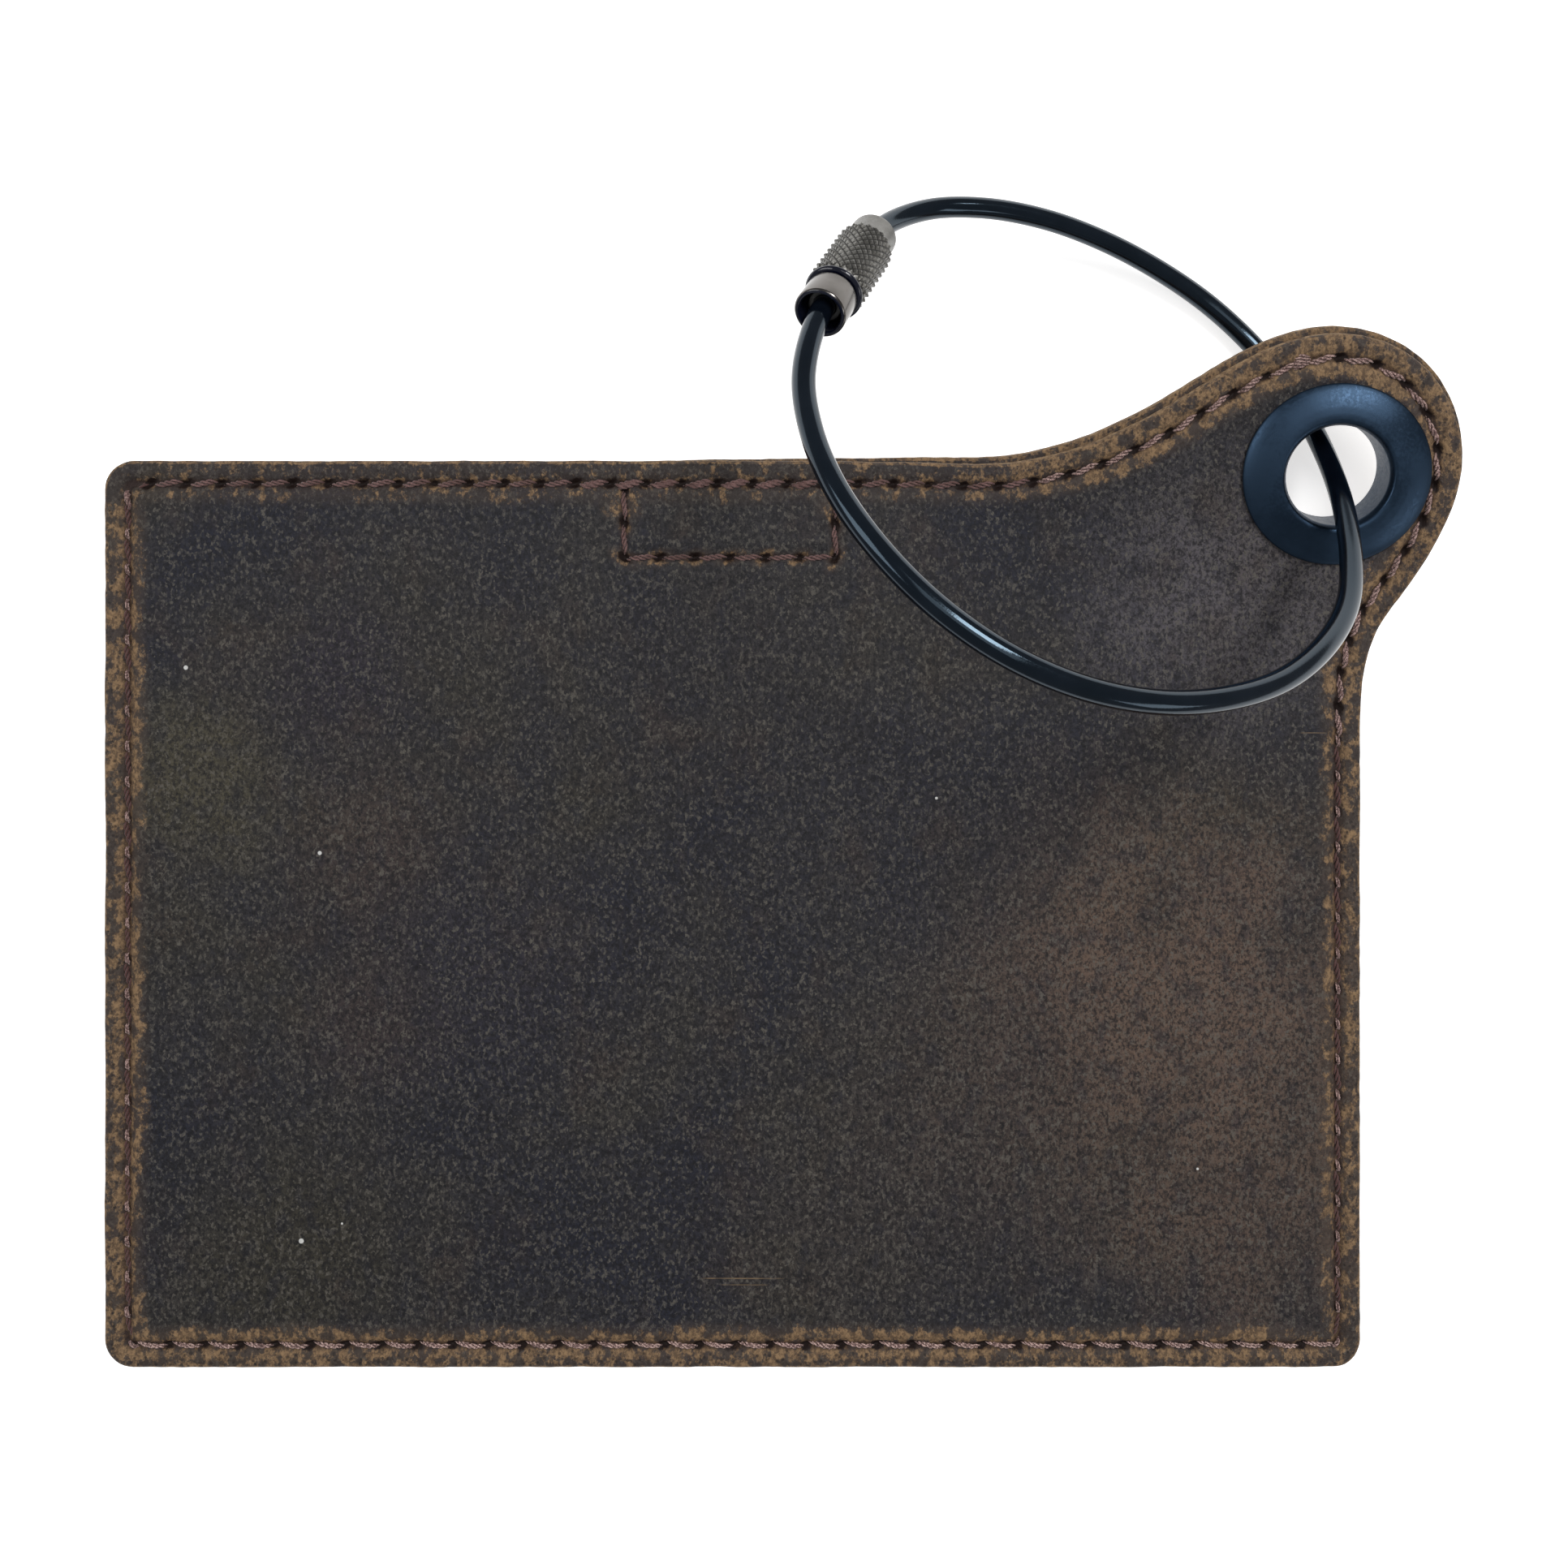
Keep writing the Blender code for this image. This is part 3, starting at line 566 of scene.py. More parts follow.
def edge_loop(inset=0.0, reveal=0.0, spacing=0.35):
    """The tag's edge, moved inwards by inset, or outwards by reveal where the second layer stands out."""
    (reveal_left, reveal_right), (reveal_low, reveal_high) = REVEAL_X, REVEAL_Y
    points = []
    for here, there in zip(EDGE_KNOTS, EDGE_KNOTS[1:] + EDGE_KNOTS[:1]):
        start, end = np.array(here[:2]), np.array(there[:2])
        turns = (math.radians(here[2]), math.radians(there[2]))
        first, last = (np.array((math.cos(turn), math.sin(turn))) for turn in turns)
        leave, arrive = start + first * here[3], end - last * here[3]
        pieces = max(6, round(np.linalg.norm(end - start) / spacing))
        for t in np.linspace(0, 1, pieces, endpoint=False):
            s = 1 - t
            if here[3]:
                place = start * s**3 + leave * 3 * s * s * t + arrive * 3 * s * t * t + end * t**3
                slope = (leave - start) * s * s + (arrive - leave) * 2 * s * t + (end - arrive) * t * t
            else:
                place, slope = start * s + end * t, end - start
            slope = unit(slope)
            ramp_x = np.clip((place[0] - reveal_left) / (reveal_right - reveal_left), 0, 1)
            ramp_y = np.clip((place[1] - reveal_low) / (reveal_high - reveal_low), 0, 1)
            points.append(place + np.array((-slope[1], slope[0])) * (inset - reveal * ramp_x * ramp_y))
    return tidy_loop(points)


def circle_loop(x, y, radius, spacing=0.35):
    """A round hole's edge."""
    turn = np.linspace(0, -2 * math.pi, int(2 * math.pi * radius / spacing), endpoint=False)
    return np.stack((x + radius * np.cos(turn), y + radius * np.sin(turn)), 1)


def window_loop(outwards):
    """The window's edge as a hole's edge, moved outwards."""
    radius = WINDOW_CORNER + outwards
    (left, right), (low, high) = WINDOW_X, WINDOW_Y
    left, right, low, high = left - outwards, right + outwards, low - outwards, high + outwards
    points = []
    corners = (
        (right - radius, low + radius, -90),
        (right - radius, high - radius, 0),
        (left + radius, high - radius, 90),
        (left + radius, low + radius, 180),
    )
    for x, y, first in corners:
        for degrees in np.linspace(first, first + 90, 8):
            angle = math.radians(degrees)
            points.append((x + radius * math.cos(angle), y + radius * math.sin(angle)))
    return resample(np.array(points), 0.4, closed=True)[::-1]


def resample(points, spacing, closed=False):
    """Evenly spaced points along a polyline."""
    line = np.vstack((points, points[:1])) if closed else points
    lengths = np.concatenate(([0.0], np.cumsum(np.linalg.norm(np.diff(line, axis=0), axis=1))))
    count = max(2, round(lengths[-1] / spacing))
    stops = np.linspace(0, lengths[-1], count + (0 if closed else 1), endpoint=not closed)
    return np.stack([np.interp(stops, lengths, line[:, axis]) for axis in range(line.shape[1])], 1)


def from_eyelet(points):
    """How far points of the flat tag are from the eyelet's middle."""
    return np.hypot(points[:, 0] - EYELET[0], points[:, 1] - EYELET[1])


def under_pocket(points, margin=0.0):
    """Whether the third layer covers each point of the flat tag."""
    return (points[:, 0] < MOUTH_X - margin) & (from_eyelet(points) > EAR_CLEARANCE + margin)


def pocket_loop():
    """The third layer's outline, which stops at the mouth and its thumb notch and clear of the eyelet."""
    rim = edge_loop(spacing=0.4)
    covered = under_pocket(rim)
    first = next(i for i in range(len(rim)) if covered[i] and not covered[i - 1])
    run = [rim[(first + i) % len(rim)] for i in range(int(covered.sum()))]
    x, y, radius = THUMB_NOTCH
    bite = math.acos((x - MOUTH_X) / radius)
    up = [(MOUTH_X, v) for v in np.arange(-HALF_WIDTH, y - radius * math.sin(bite) - 0.2, 0.45)]
    turns = np.arange(-bite, bite, 0.4 / radius)
    notch = [(x - radius * math.cos(a), y + radius * math.sin(a)) for a in turns]
    ear_bite = math.asin(math.sqrt(EAR_CLEARANCE**2 - (EYELET[0] - MOUTH_X) ** 2) / EAR_CLEARANCE)
    meets = EYELET[1] - EAR_CLEARANCE * math.sin(ear_bite)
    on = [(MOUTH_X, v) for v in np.arange(y + radius * math.sin(bite) + 0.2, meets - 0.2, 0.45)]
    last = math.atan2(run[0][1] - EYELET[1], run[0][0] - EYELET[0]) % (2 * math.pi)
    ear = [
        (EYELET[0] + EAR_CLEARANCE * math.cos(a), EYELET[1] + EAR_CLEARANCE * math.sin(a))
        for a in np.arange(math.pi + ear_bite, last, -0.4 / EAR_CLEARANCE)
    ]
    return tidy_loop([*run, *up, *notch, *on, *ear], 0.15)


def nearest_index(points, targets):
    """The index of the nearest target for each point, both in the plane."""
    tree = kdtree.KDTree(len(targets))
    for i, (x, y) in enumerate(targets.tolist()):
        tree.insert((x, y, 0.0), i)
    tree.balance()
    return np.array([tree.find((x, y, 0.0))[1] for x, y in points.tolist()], int)


def gap_to_segment(points, start, end):
    span = end - start
    t = np.clip(((points - start) * span).sum(1) / np.maximum((span**2).sum(1), 1e-12), 0, 1)
    return np.linalg.norm(points - start - span * t[:, None], axis=1)


def measure(points, loops):
    """Each point's distance to the nearest of the closely spaced loops, and whether it's on their left."""
    here = np.vstack(loops)
    ahead = np.vstack([np.roll(loop, -1, 0) for loop in loops])
    behind = np.vstack([np.roll(loop, 1, 0) for loop in loops])
    index = nearest_index(points, here)
    start, middle, end = behind[index], here[index], ahead[index]
    gap = np.minimum(gap_to_segment(points, start, middle), gap_to_segment(points, middle, end))
    heading = unit(end - middle) + unit(middle - start)
    left = (points - middle)[:, 1] * heading[:, 0] - (points - middle)[:, 0] * heading[:, 1] > 0
    return gap, left


def distance_to(points, loops):
    return measure(points, loops)[0]


def distance_between(points, targets):
    return np.linalg.norm(points - targets[nearest_index(points, targets)], axis=1)


def left_of(headings):
    """Each heading, turned left by a right angle."""
    return np.column_stack((-headings[:, 1], headings[:, 0]))


def headings_along(points, closed=True, reach=1):
    """The unit heading at each point of a line."""
    if closed:
        return unit(np.roll(points, -reach, 0) - np.roll(points, reach, 0))
    return unit(np.gradient(points, axis=0))


def slot_distance(points, holes, headings):
    """The distance to the nearest needle hole, as if each were a slanting slot rather than round."""
    index = nearest_index(points, holes)
    away, heading = points - holes[index], headings[index]
    slant = heading * math.cos(HOLE_SLANT) + left_of(heading) * math.sin(HOLE_SLANT)
    along = (away * slant).sum(1)
    across = away[:, 1] * slant[:, 0] - away[:, 0] * slant[:, 1]
    return np.hypot(along * HOLE_SQUEEZE, across / HOLE_SQUEEZE)


def curled(flat, z):
    """Where points of the flat tag go when the ear curls up, in millimetres."""
    along, across = flat @ CURL_HEADING, flat @ CURL_SIDE
    turn = np.clip((along - CURL_START) / CURL_RADIUS, 0.0, CURL_ANGLE)
    beyond = np.maximum(along - CURL_START - CURL_SPAN, 0.0)
    height = np.asarray(z) - REAR_LOW
    reach = np.minimum(along, CURL_START) + CURL_RADIUS * np.sin(turn) + beyond * math.cos(CURL_ANGLE)
    lift = CURL_RADIUS * (1 - np.cos(turn)) + beyond * math.sin(CURL_ANGLE)
    moved = (reach - height * np.sin(turn))[:, None] * CURL_HEADING + across[:, None] * CURL_SIDE
    return np.column_stack((moved, REAR_LOW + lift + height * np.cos(turn)))


# Needle holes. A mark is a hole's place with the seam's heading there.


def marks_at(holes, closed=True):
    return np.hstack((holes, headings_along(holes, closed)))


SEAM_HOLES = resample(edge_loop(STITCH_INSET), STITCH_PITCH, closed=True)
WINDOW_HOLES = resample(window_loop(WINDOW_SEAM_OUT)[::-1], STITCH_PITCH, closed=True)
BOX_LINE = np.array(((BOX_LEFT, BOX_HIGH), (BOX_LEFT, BOX_LOW), (BOX_RIGHT, BOX_LOW), (BOX_RIGHT, BOX_HIGH)))
BOX_SIDES = [resample(BOX_LINE[i : i + 2], BOX_PITCH) for i in range(3)]
BOX_HOLES = np.vstack((BOX_SIDES[0][:-1], BOX_SIDES[1][:-1], BOX_SIDES[2]))


def on_sunk_side(points):
    """Whether the seam there is pulled right into the leather, as it is along both ends of the body."""
    right = (points[:, 0] > SUNK_RIGHT) & (points[:, 1] < SUNK_BELOW)
    return (points[:, 0] < SUNK_LEFT) | right


def wear_at(flat):
    """How strongly the edge is rubbed there: least along the top of the body, most round the ear."""
    top = smoothstep(flat[:, 1], 34.0, 36.5) * (1 - smoothstep(flat[:, 0], 16.0, 30.0))
    right = smoothstep(flat[:, 0], 46.0, 50.0) * (1 - smoothstep(flat[:, 1], 14.0, 24.0))
    ear = smoothstep(from_eyelet(flat), 17.0, 9.0)
    return np.clip(0.95 - 0.45 * top - 0.15 * right + 0.1 * ear, 0.0, 1.1)


def hole_cluster(holes):
    """Points round each needle hole, so that the sheet has enough of them there to dip."""
    rings = [holes]
    for radius, count in ((0.2, 6), (0.38, 9), (0.6, 10)):
        for turn in np.linspace(0, 2 * math.pi, count, endpoint=False):
            rings.append(holes + radius * np.array((math.cos(turn), math.sin(turn))))
    return np.vstack(rings)


def wavy(flat, size, seed):
    """Smooth noise from -1 to 1 on the flat sheet."""
    return np.array([noise.noise(Vector((x / size, y / size, seed))) for x, y in flat])


# Leather.

EDGE_RINGS = (0.07, 0.18, 0.34, 0.55, 0.85, 1.2, 1.5, 1.75, 2.0, 2.25, 2.5, 2.8, 3.3, 4.0)
FINE_RINGS = 0.6
COARSE_GRID = 1.0
HOLE_REACH = 0.68


def frayed(loop):
    """The loop with the slight waviness of a hand-cut edge."""
    waves = wavy(loop, 0.9, 3.0) * 0.035 + wavy(loop, 3.5, 8.0) * 0.05 + 0.04
    return loop + left_of(headings_along(loop)) * waves[:, None]


def filling_points(loops, holes, grid):
    """Points inside the outline: rings along its edges, a lattice between them and a cluster at each hole."""
    rings = []
    for loop in loops:
        inwards = left_of(headings_along(loop, reach=2))
        for i, inset in enumerate(EDGE_RINGS):
            every = slice(i % 2, None, 2) if inset > FINE_RINGS and grid > COARSE_GRID else slice(None)
            ring = loop[every] + inwards[every] * inset
            rings.append(ring[distance_to(ring, loops) > inset * 0.93])
    low, high = loops[0].min(0), loops[0].max(0)
    xs, ys = np.meshgrid(np.arange(low[0], high[0], grid), np.arange(low[1], high[1], grid * 0.9))
    xs[1::2] += grid / 2
    lattice = np.stack((xs.ravel(), ys.ravel()), 1)
    lattice = lattice[distance_to(lattice, loops) > EDGE_RINGS[-1] + grid * 0.4]
    spots = hole_cluster(holes)
    spots = spots[distance_to(spots, loops) > 0.3]
    filling = np.vstack((*rings, lattice))
    filling = np.vstack((filling[distance_between(filling, holes) > HOLE_REACH], spots))
    return filling[measure(filling, loops)[1]]


def fill_outline(loops, filling):
    """Points and triangles of the flat sheet inside the loops."""
    constraints, first = [], 0
    for loop in loops:
        constraints += [(first + i, first + (i + 1) % len(loop)) for i in range(len(loop))]
        first += len(loop)
    points = [Vector(p) for p in np.vstack((*loops, filling)).tolist()]
    found = geometry.delaunay_2d_cdt(points, constraints, [], 1, 1e-5, False)
    flat = np.array([tuple(p) for p in found[0]])
    triangles = np.array(found[2])
    triangles = triangles[measure(flat[triangles].mean(1), loops)[1]]
    used = np.unique(triangles)
    renumber = np.full(len(flat), -1)
    renumber[used] = np.arange(len(used))
    return flat[used], renumber[triangles]


def leather_piece(name, loops, seams, marks, grid, top, bottom, good_face_up=True):
    """A closed sheet of leather, with what its paint has to know at each point.

    Top and bottom give heights from flat points and their distances to the edge, seam and needle holes.
    """
    holes = marks[:, :2]
    loops = [frayed(loop) for loop in loops]
    flat, triangles = fill_outline(loops, filling_points(loops, holes, grid))
    any_edge, seam = distance_to(flat, loops), distance_to(flat, seams)
    hole = slot_distance(flat, holes, marks[:, 2:])
    levels = [surface(flat, any_edge, seam, hole) for surface in (top, bottom)]
    count = len(flat)
    sides = np.vstack((triangles[:, :2], triangles[:, 1:], triangles[:, [2, 0]])).tolist()
    known = set(map(tuple, sides))
    faces = triangles.tolist() + (triangles[:, ::-1] + count).tolist()
    faces += [[b, a, a + count, b + count] for a, b in sides if (b, a) not in known]
    obj = add_mesh(name, to_row(np.vstack([curled(flat, level) for level in levels])), faces)
    cut, good = np.ones(count), (any_edge < 0.03).astype(float)
    set_attribute(obj, "raw", np.concatenate((good, cut) if good_face_up else (cut, good)))
    outer_edge = distance_to(flat, loops[:1])
    for key, values in (("edge", outer_edge), ("seam", seam), ("hole", hole), ("wear", wear_at(flat))):
        set_attribute(obj, key, np.tile(values, 2))
    return obj


def rounded_off(distance, radius):
    """How far a rounded edge of that radius drops at a distance from the cut."""
    inwards = np.clip(distance, 0.0, radius)
    return radius - np.sqrt(np.maximum(radius**2 - (radius - inwards) ** 2, 0.0))


def pressed(seam, hole, groove, dip):
    """How deep the stitches pull the leather down."""
    return groove * np.exp(-((seam / 0.5) ** 2)) + dip * np.exp(-((hole / 0.36) ** 2))


def front_top(flat, edge, seam, hole):
    lumps = wavy(flat, 11.0, 1.0) * 0.07 + wavy(flat, 3.0, 5.0) * 0.025
    pucker = 0.08 * np.exp(-(((seam - 1.0) / 0.6) ** 2))
    groove = 0.25 + 0.2 * on_sunk_side(flat)
    return FACE + lumps + pucker - 0.03 - rounded_off(edge, 0.4) - pressed(seam, hole, groove, 0.45)


def make_leather(front_paint, back_paint):
    eyelet_hole = circle_loop(*EYELET, LEATHER_HOLE)
    perimeter = edge_loop(STITCH_INSET)
    box = resample(np.vstack((BOX_LINE, BOX_LINE[-2:0:-1])), 0.3, closed=True)
    seam_marks = marks_at(SEAM_HOLES)

    def front_bottom(flat, edge, seam, hole):
        return FRONT_LOW + rounded_off(edge, 0.25) - 0.1

    def rear_top(flat, edge, seam, hole):
        return REAR_LOW + LEATHER + 0.06 + wavy(flat, 6.0, 2.0) * 0.05 - rounded_off(edge, 0.25)

    def rear_bottom(flat, edge, seam, hole):
        return REAR_LOW + rounded_off(edge, 0.25) + pressed(seam, hole, 0.5, 0.1)

    outline = edge_loop()

    def pocket_top(flat, edge, seam, hole):
        rim = 1 - smoothstep(distance_to(flat, [outline]), 3.2, 3.7)
        return LEATHER + (POCKET_RIM - LEATHER) * rim - rounded_off(edge, 0.25)

    def pocket_bottom(flat, edge, seam, hole):
        return rounded_off(edge, 0.35) + pressed(seam, hole, 0.5, 0.12)

    loops = [outline, eyelet_hole]
    marks = np.vstack((seam_marks[~on_sunk_side(SEAM_HOLES)], marks_at(BOX_HOLES, closed=False)))
    front = leather_piece("front_leather", loops, [perimeter, box], marks, 0.62, front_top, front_bottom)
    install(front, "tag", front_paint, "front_panel")
    loops = [edge_loop(reveal=REAR_REVEAL), eyelet_hole]
    rear = leather_piece("rear_leather", loops, [perimeter], seam_marks, 2.0, rear_top, rear_bottom)
    install(rear, "tag", back_paint, "rear_panel")
    loops, seams = [pocket_loop(), window_loop(0.0)], [perimeter, window_loop(WINDOW_SEAM_OUT)]
    marks = np.vstack((seam_marks[under_pocket(SEAM_HOLES, 0.6)], marks_at(WINDOW_HOLES)))
    pocket = leather_piece("pocket_leather", loops, seams, marks, 1.0, pocket_top, pocket_bottom, False)
    install(pocket, "tag", back_paint, "pocket_panel")


# Stitches. Each is a short length of three-ply thread that comes up out of one hole and goes down the next.

PLY_SPREAD = 0.16
PLY_RADIUS = 0.105
PLY_SIDES = 7
PLY_LAY = 1.7
STITCH_STEPS = 17
STITCH_START, STITCH_SPAN = 0.07, 0.88
STITCH_ROOT = 0.62


def stitch(ends, lean, bow, height, normal, twist_start, thick):
    """One stitch between two holes on a surface, as three twisted plies, with how deep each point is."""
    along = ends[1] - ends[0]
    side = unit(np.cross(normal, along))
    t = np.linspace(0.0, 1.0, STITCH_STEPS)
    arch = np.sin(math.pi * t)
    rise = arch**0.55
    line = (
        ends[0]
        + along * (STITCH_START + STITCH_SPAN * t)[:, None]
        + side * (lean * (2 * t - 1) + bow * arch)[:, None]
        + normal * (-STITCH_ROOT + (height + STITCH_ROOT) * rise)[:, None]
    )
    sides, ups = frames_along(line)
    taper = thick * (0.72 + 0.28 * arch**0.5)
    plies = []
    for ply in range(3):
        angle = twist_start + 2 * math.pi * (ply / 3 + t * np.linalg.norm(along) / PLY_LAY)
        turned = np.cos(angle)[:, None] * sides + np.sin(angle)[:, None] * ups
        plies.append(tube_mesh(line + turned * (PLY_SPREAD * taper)[:, None], PLY_RADIUS * taper, PLY_SIDES))
    # How far each point has dived towards its hole; the thread's paint darkens it there as painted shade.
    depth = np.repeat(np.clip(1.25 - 1.7 * rise, 0, 1), PLY_SIDES)
    return join(plies), np.tile(depth, 3)


def tone(place):
    """How far a stitch there is worn pale and how far it is sunk in, from 0 to 1."""
    if on_sunk_side(place[None, :])[0]:
        return 0.0, 1.0
    if place[1] < BOTTOM_SEAM:
        return 0.75, 0.0
    return (0.5, 0.0) if place[0] > 25.0 and place[1] > SUNK_BELOW else (0.0, 0.0)


def seam_runs(holes, closed, lean):
    """A seam's stitches as (start, end, lean, bow, thickness, pale, sunk)."""
    following = np.roll(holes, -1, 0) if closed else holes[1:]
    runs = []
    for a, b in zip(holes, following):
        bottom = a[1] < BOTTOM_SEAM
        runs.append((a, b, -0.8 * lean if bottom else lean, 0.0, 0.8 if bottom else 1.0, *tone((a + b) / 2)))
    return runs


def sew(name, runs, surface, direction, thick, paint, solid):
    """Visible stitches on a surface, which gives heights on the flat tag. Direction is 1 up and -1 down."""
    made, facts = [], {"depth": [], "pale": [], "sunk": []}
    for index, (a, b, lean, bow, scale, pale, sunk) in enumerate(runs):
        ends = np.array((a, b))
        z = surface(ends)
        placed = curled(ends, z)
        normal = unit((curled(ends, z + direction) - placed).mean(0))
        wobble = noise.noise(Vector((index * 1.7, 4.0, 0.3)))
        height = STITCH_HEIGHT - 0.3 * sunk + 0.04 * wobble
        width = thick * scale * (1 + 0.1 * wobble)
        plies, depth = stitch(placed, lean * (1 + 0.4 * wobble), bow, height, normal, index * 2.1, width)
        made.append(plies)
        for key, value in (("depth", depth), ("pale", pale), ("sunk", sunk)):
            facts[key].append(np.broadcast_to(value, len(depth)))
    verts, faces = join(made)
    obj = add_mesh(name, to_row(verts), faces)
    for key, values in facts.items():
        set_attribute(obj, key, np.concatenate(values))
    install(obj, "tag", paint, solid)


def hole_near(x, y):
    return SEAM_HOLES[np.argmin(np.hypot(SEAM_HOLES[:, 0] - x, SEAM_HOLES[:, 1] - y))]


def make_stitches(paint):
    def face(points):
        return np.full(len(points), FACE - 0.22)

    def pocket_face(points):
        return np.full(len(points), 0.52)

    def underside(points):
        return pocket_face(points) if under_pocket(points).all() else np.full(len(points), REAR_LOW + 0.5)

    # Doubled stitches over the box, and short ones where the seam starts and ends.
    runs = seam_runs(SEAM_HOLES, True, 0.28)
    for a, b in zip(SEAM_HOLES, np.roll(SEAM_HOLES, -1, 0)):
        if a[1] > 36.5 and BOX_LEFT - 2.0 < a[0] < BOX_RIGHT + 2.0:
            runs.append((a, b, 0.30, 0.16, 1.12, 0.0, 0.0))
    tack = hole_near(47.8, 46.7)
    for i in range(4):
        start, end = tack + (-1.1, -0.55 + 0.22 * i), tack + (0.9, 0.05 + 0.20 * i)
        runs.append((start, end, 0.1, 0.06 * i, 0.8, 0.5, 0.0))
    corner = hole_near(-52.0, 35.7)
    for i in range(3):
        runs.append((corner + (-0.15 * i, 0.9), corner + (0.1 * i, -1.1), 0.1, 0.1, 0.8, 0.2, 0.0))
    # Where the seam has sunk in, the thread shows only at the needle holes.
    for mark in marks_at(SEAM_HOLES)[on_sunk_side(SEAM_HOLES)]:
        start, end = mark[:2] - 0.55 * mark[2:], mark[:2] + 0.55 * mark[2:]
        runs.append((start, end, 0.08, 0.0, 0.7, 0.5, 0.0))
    sew("perimeter_stitches", runs, face, 1.0, 1.0, paint, "perimeter_needle_thread")
    runs = seam_runs(BOX_HOLES, False, 0.16)
    sew("box_stitches", runs, face, 1.0, 0.95, paint, "box_needle_thread")
    runs = seam_runs(SEAM_HOLES, True, 0.12)
    sew("perimeter_underside_stitches", runs, underside, -1.0, 0.8, paint, "perimeter_bobbin_thread")
    runs = seam_runs(WINDOW_HOLES, True, 0.12)
    sew("window_stitches", runs, pocket_face, -1.0, 0.8, paint, "window_needle_thread")


# Turned pieces.


def softened(profile, cut):
    """The closed profile with each corner rounded by three points."""
    points = [np.array(p) for p in profile]
    out = []
    for before, here, after in zip([points[-1], *points[:-1]], points, [*points[1:], points[0]]):
        back, ahead = before - here, after - here
        reach = min(cut, 0.35 * np.linalg.norm(back), 0.35 * np.linalg.norm(ahead))
        a, b = here + unit(back) * reach, here + unit(ahead) * reach
        out += [a, (a + b + 2 * here) / 4, b]
    return np.array(out)


def rings_round(axis, count):
    """Unit directions all round an axis."""
    turn = np.linspace(0, 2 * math.pi, count, endpoint=False)[:, None]
    side = unit(np.cross(axis, (1.0, 0.0, 0.0)))
    return np.cos(turn) * side + np.sin(turn) * np.cross(axis, side)


def turn_profile(name, profile, place, axis, steps):
    """A solid ring turned from a closed profile of (radius, height) about an axis through place."""
    ring = rings_round(axis, steps)[:, None, :]
    verts = place + profile[None, :, 1, None] * axis + profile[None, :, 0, None] * ring
    faces = [face[::-1] for face in grid_faces(steps, len(profile))]
    obj = add_mesh(name, to_row(verts.reshape(-1, 3)), faces)
    obj.data.set_sharp_from_angle(angle=math.radians(50))
    return obj


EYELET_UNDER = FACE - REAR_LOW + 0.2
EYELET_DOME = (
    (4.4, 0.72), (4.52, 0.86), (4.75, 0.92), (5.2, 0.89), (5.8, 0.79), (6.4, 0.64),
    (6.9, 0.48), (7.3, 0.32), (7.6, 0.15), (7.7, 0.03), (7.6, 0.0), (4.7, 0.0),
)
EYELET_ROLL = ((4.7, -0.85), (5.9, -0.85), (6.15, -1.1), (5.9, -1.35), (4.8, -1.35), (4.3, -1.1), (4.2, -0.7))
EYELET_PROFILE = (
    *((radius, EYELET_UNDER + height) for radius, height in EYELET_DOME),
    *EYELET_ROLL,
    (4.2, EYELET_UNDER + 0.35),
)
WASHER_PROFILE = ((6.7, -0.25), (6.7, -0.65), (5.0, -0.65), (5.0, -0.25))
COLLAR_PROFILE = (
    (1.72, 13.45), (1.92, 13.45), (2.05, 13.3), (2.05, 10.65), (1.95, 10.5), (1.5, 10.5),
    (1.5, 7.5), (1.4, 7.4), (0.95, 7.4), (0.95, 10.7), (1.62, 10.7), (1.62, 13.2),
)
COLLAR_FERRULE_PROFILE = ((1.3, 12.25), (1.4, 12.1), (1.4, 10.95), (0.92, 10.95), (0.92, 12.25))
STOP_FERRULE_PROFILE = ((1.45, 6.5), (1.55, 6.4), (1.55, 2.6), (1.45, 2.5), (1.0, 2.5), (1.0, 6.5))
RING_TURNS = [math.pi * i / 9 for i in range(18, 0, -1)]
RING_PROFILE = tuple((1.98 - 0.34 * math.cos(turn), 10.13 - 0.27 * math.sin(turn)) for turn in RING_TURNS)

KNURLS_ROUND = 22
KNURL_PITCH = 0.84
KNURL_LOW, KNURL_HIGH = 2.17, 2.40
KNURL_START, KNURL_END = 2.3, 9.72
SLEEVE_BEFORE_KNURL = (
    (1.7, 9.75), (1.7, 2.4), (1.55, 2.3), (1.42, 2.3), (1.42, 0.12), (1.5, 0.03),
    (1.68, 0.0), (1.83, 0.06), (1.93, 0.2), (1.95, 0.4), (1.95, 2.1), (1.97, 2.2),
)
SLEEVE_MOUTH = (1.95, 9.76)


def tooth(value):
    """0 on a groove and 1 half way between two grooves."""
    return 1.0 - np.abs(2.0 * (value - np.floor(value)) - 1.0)


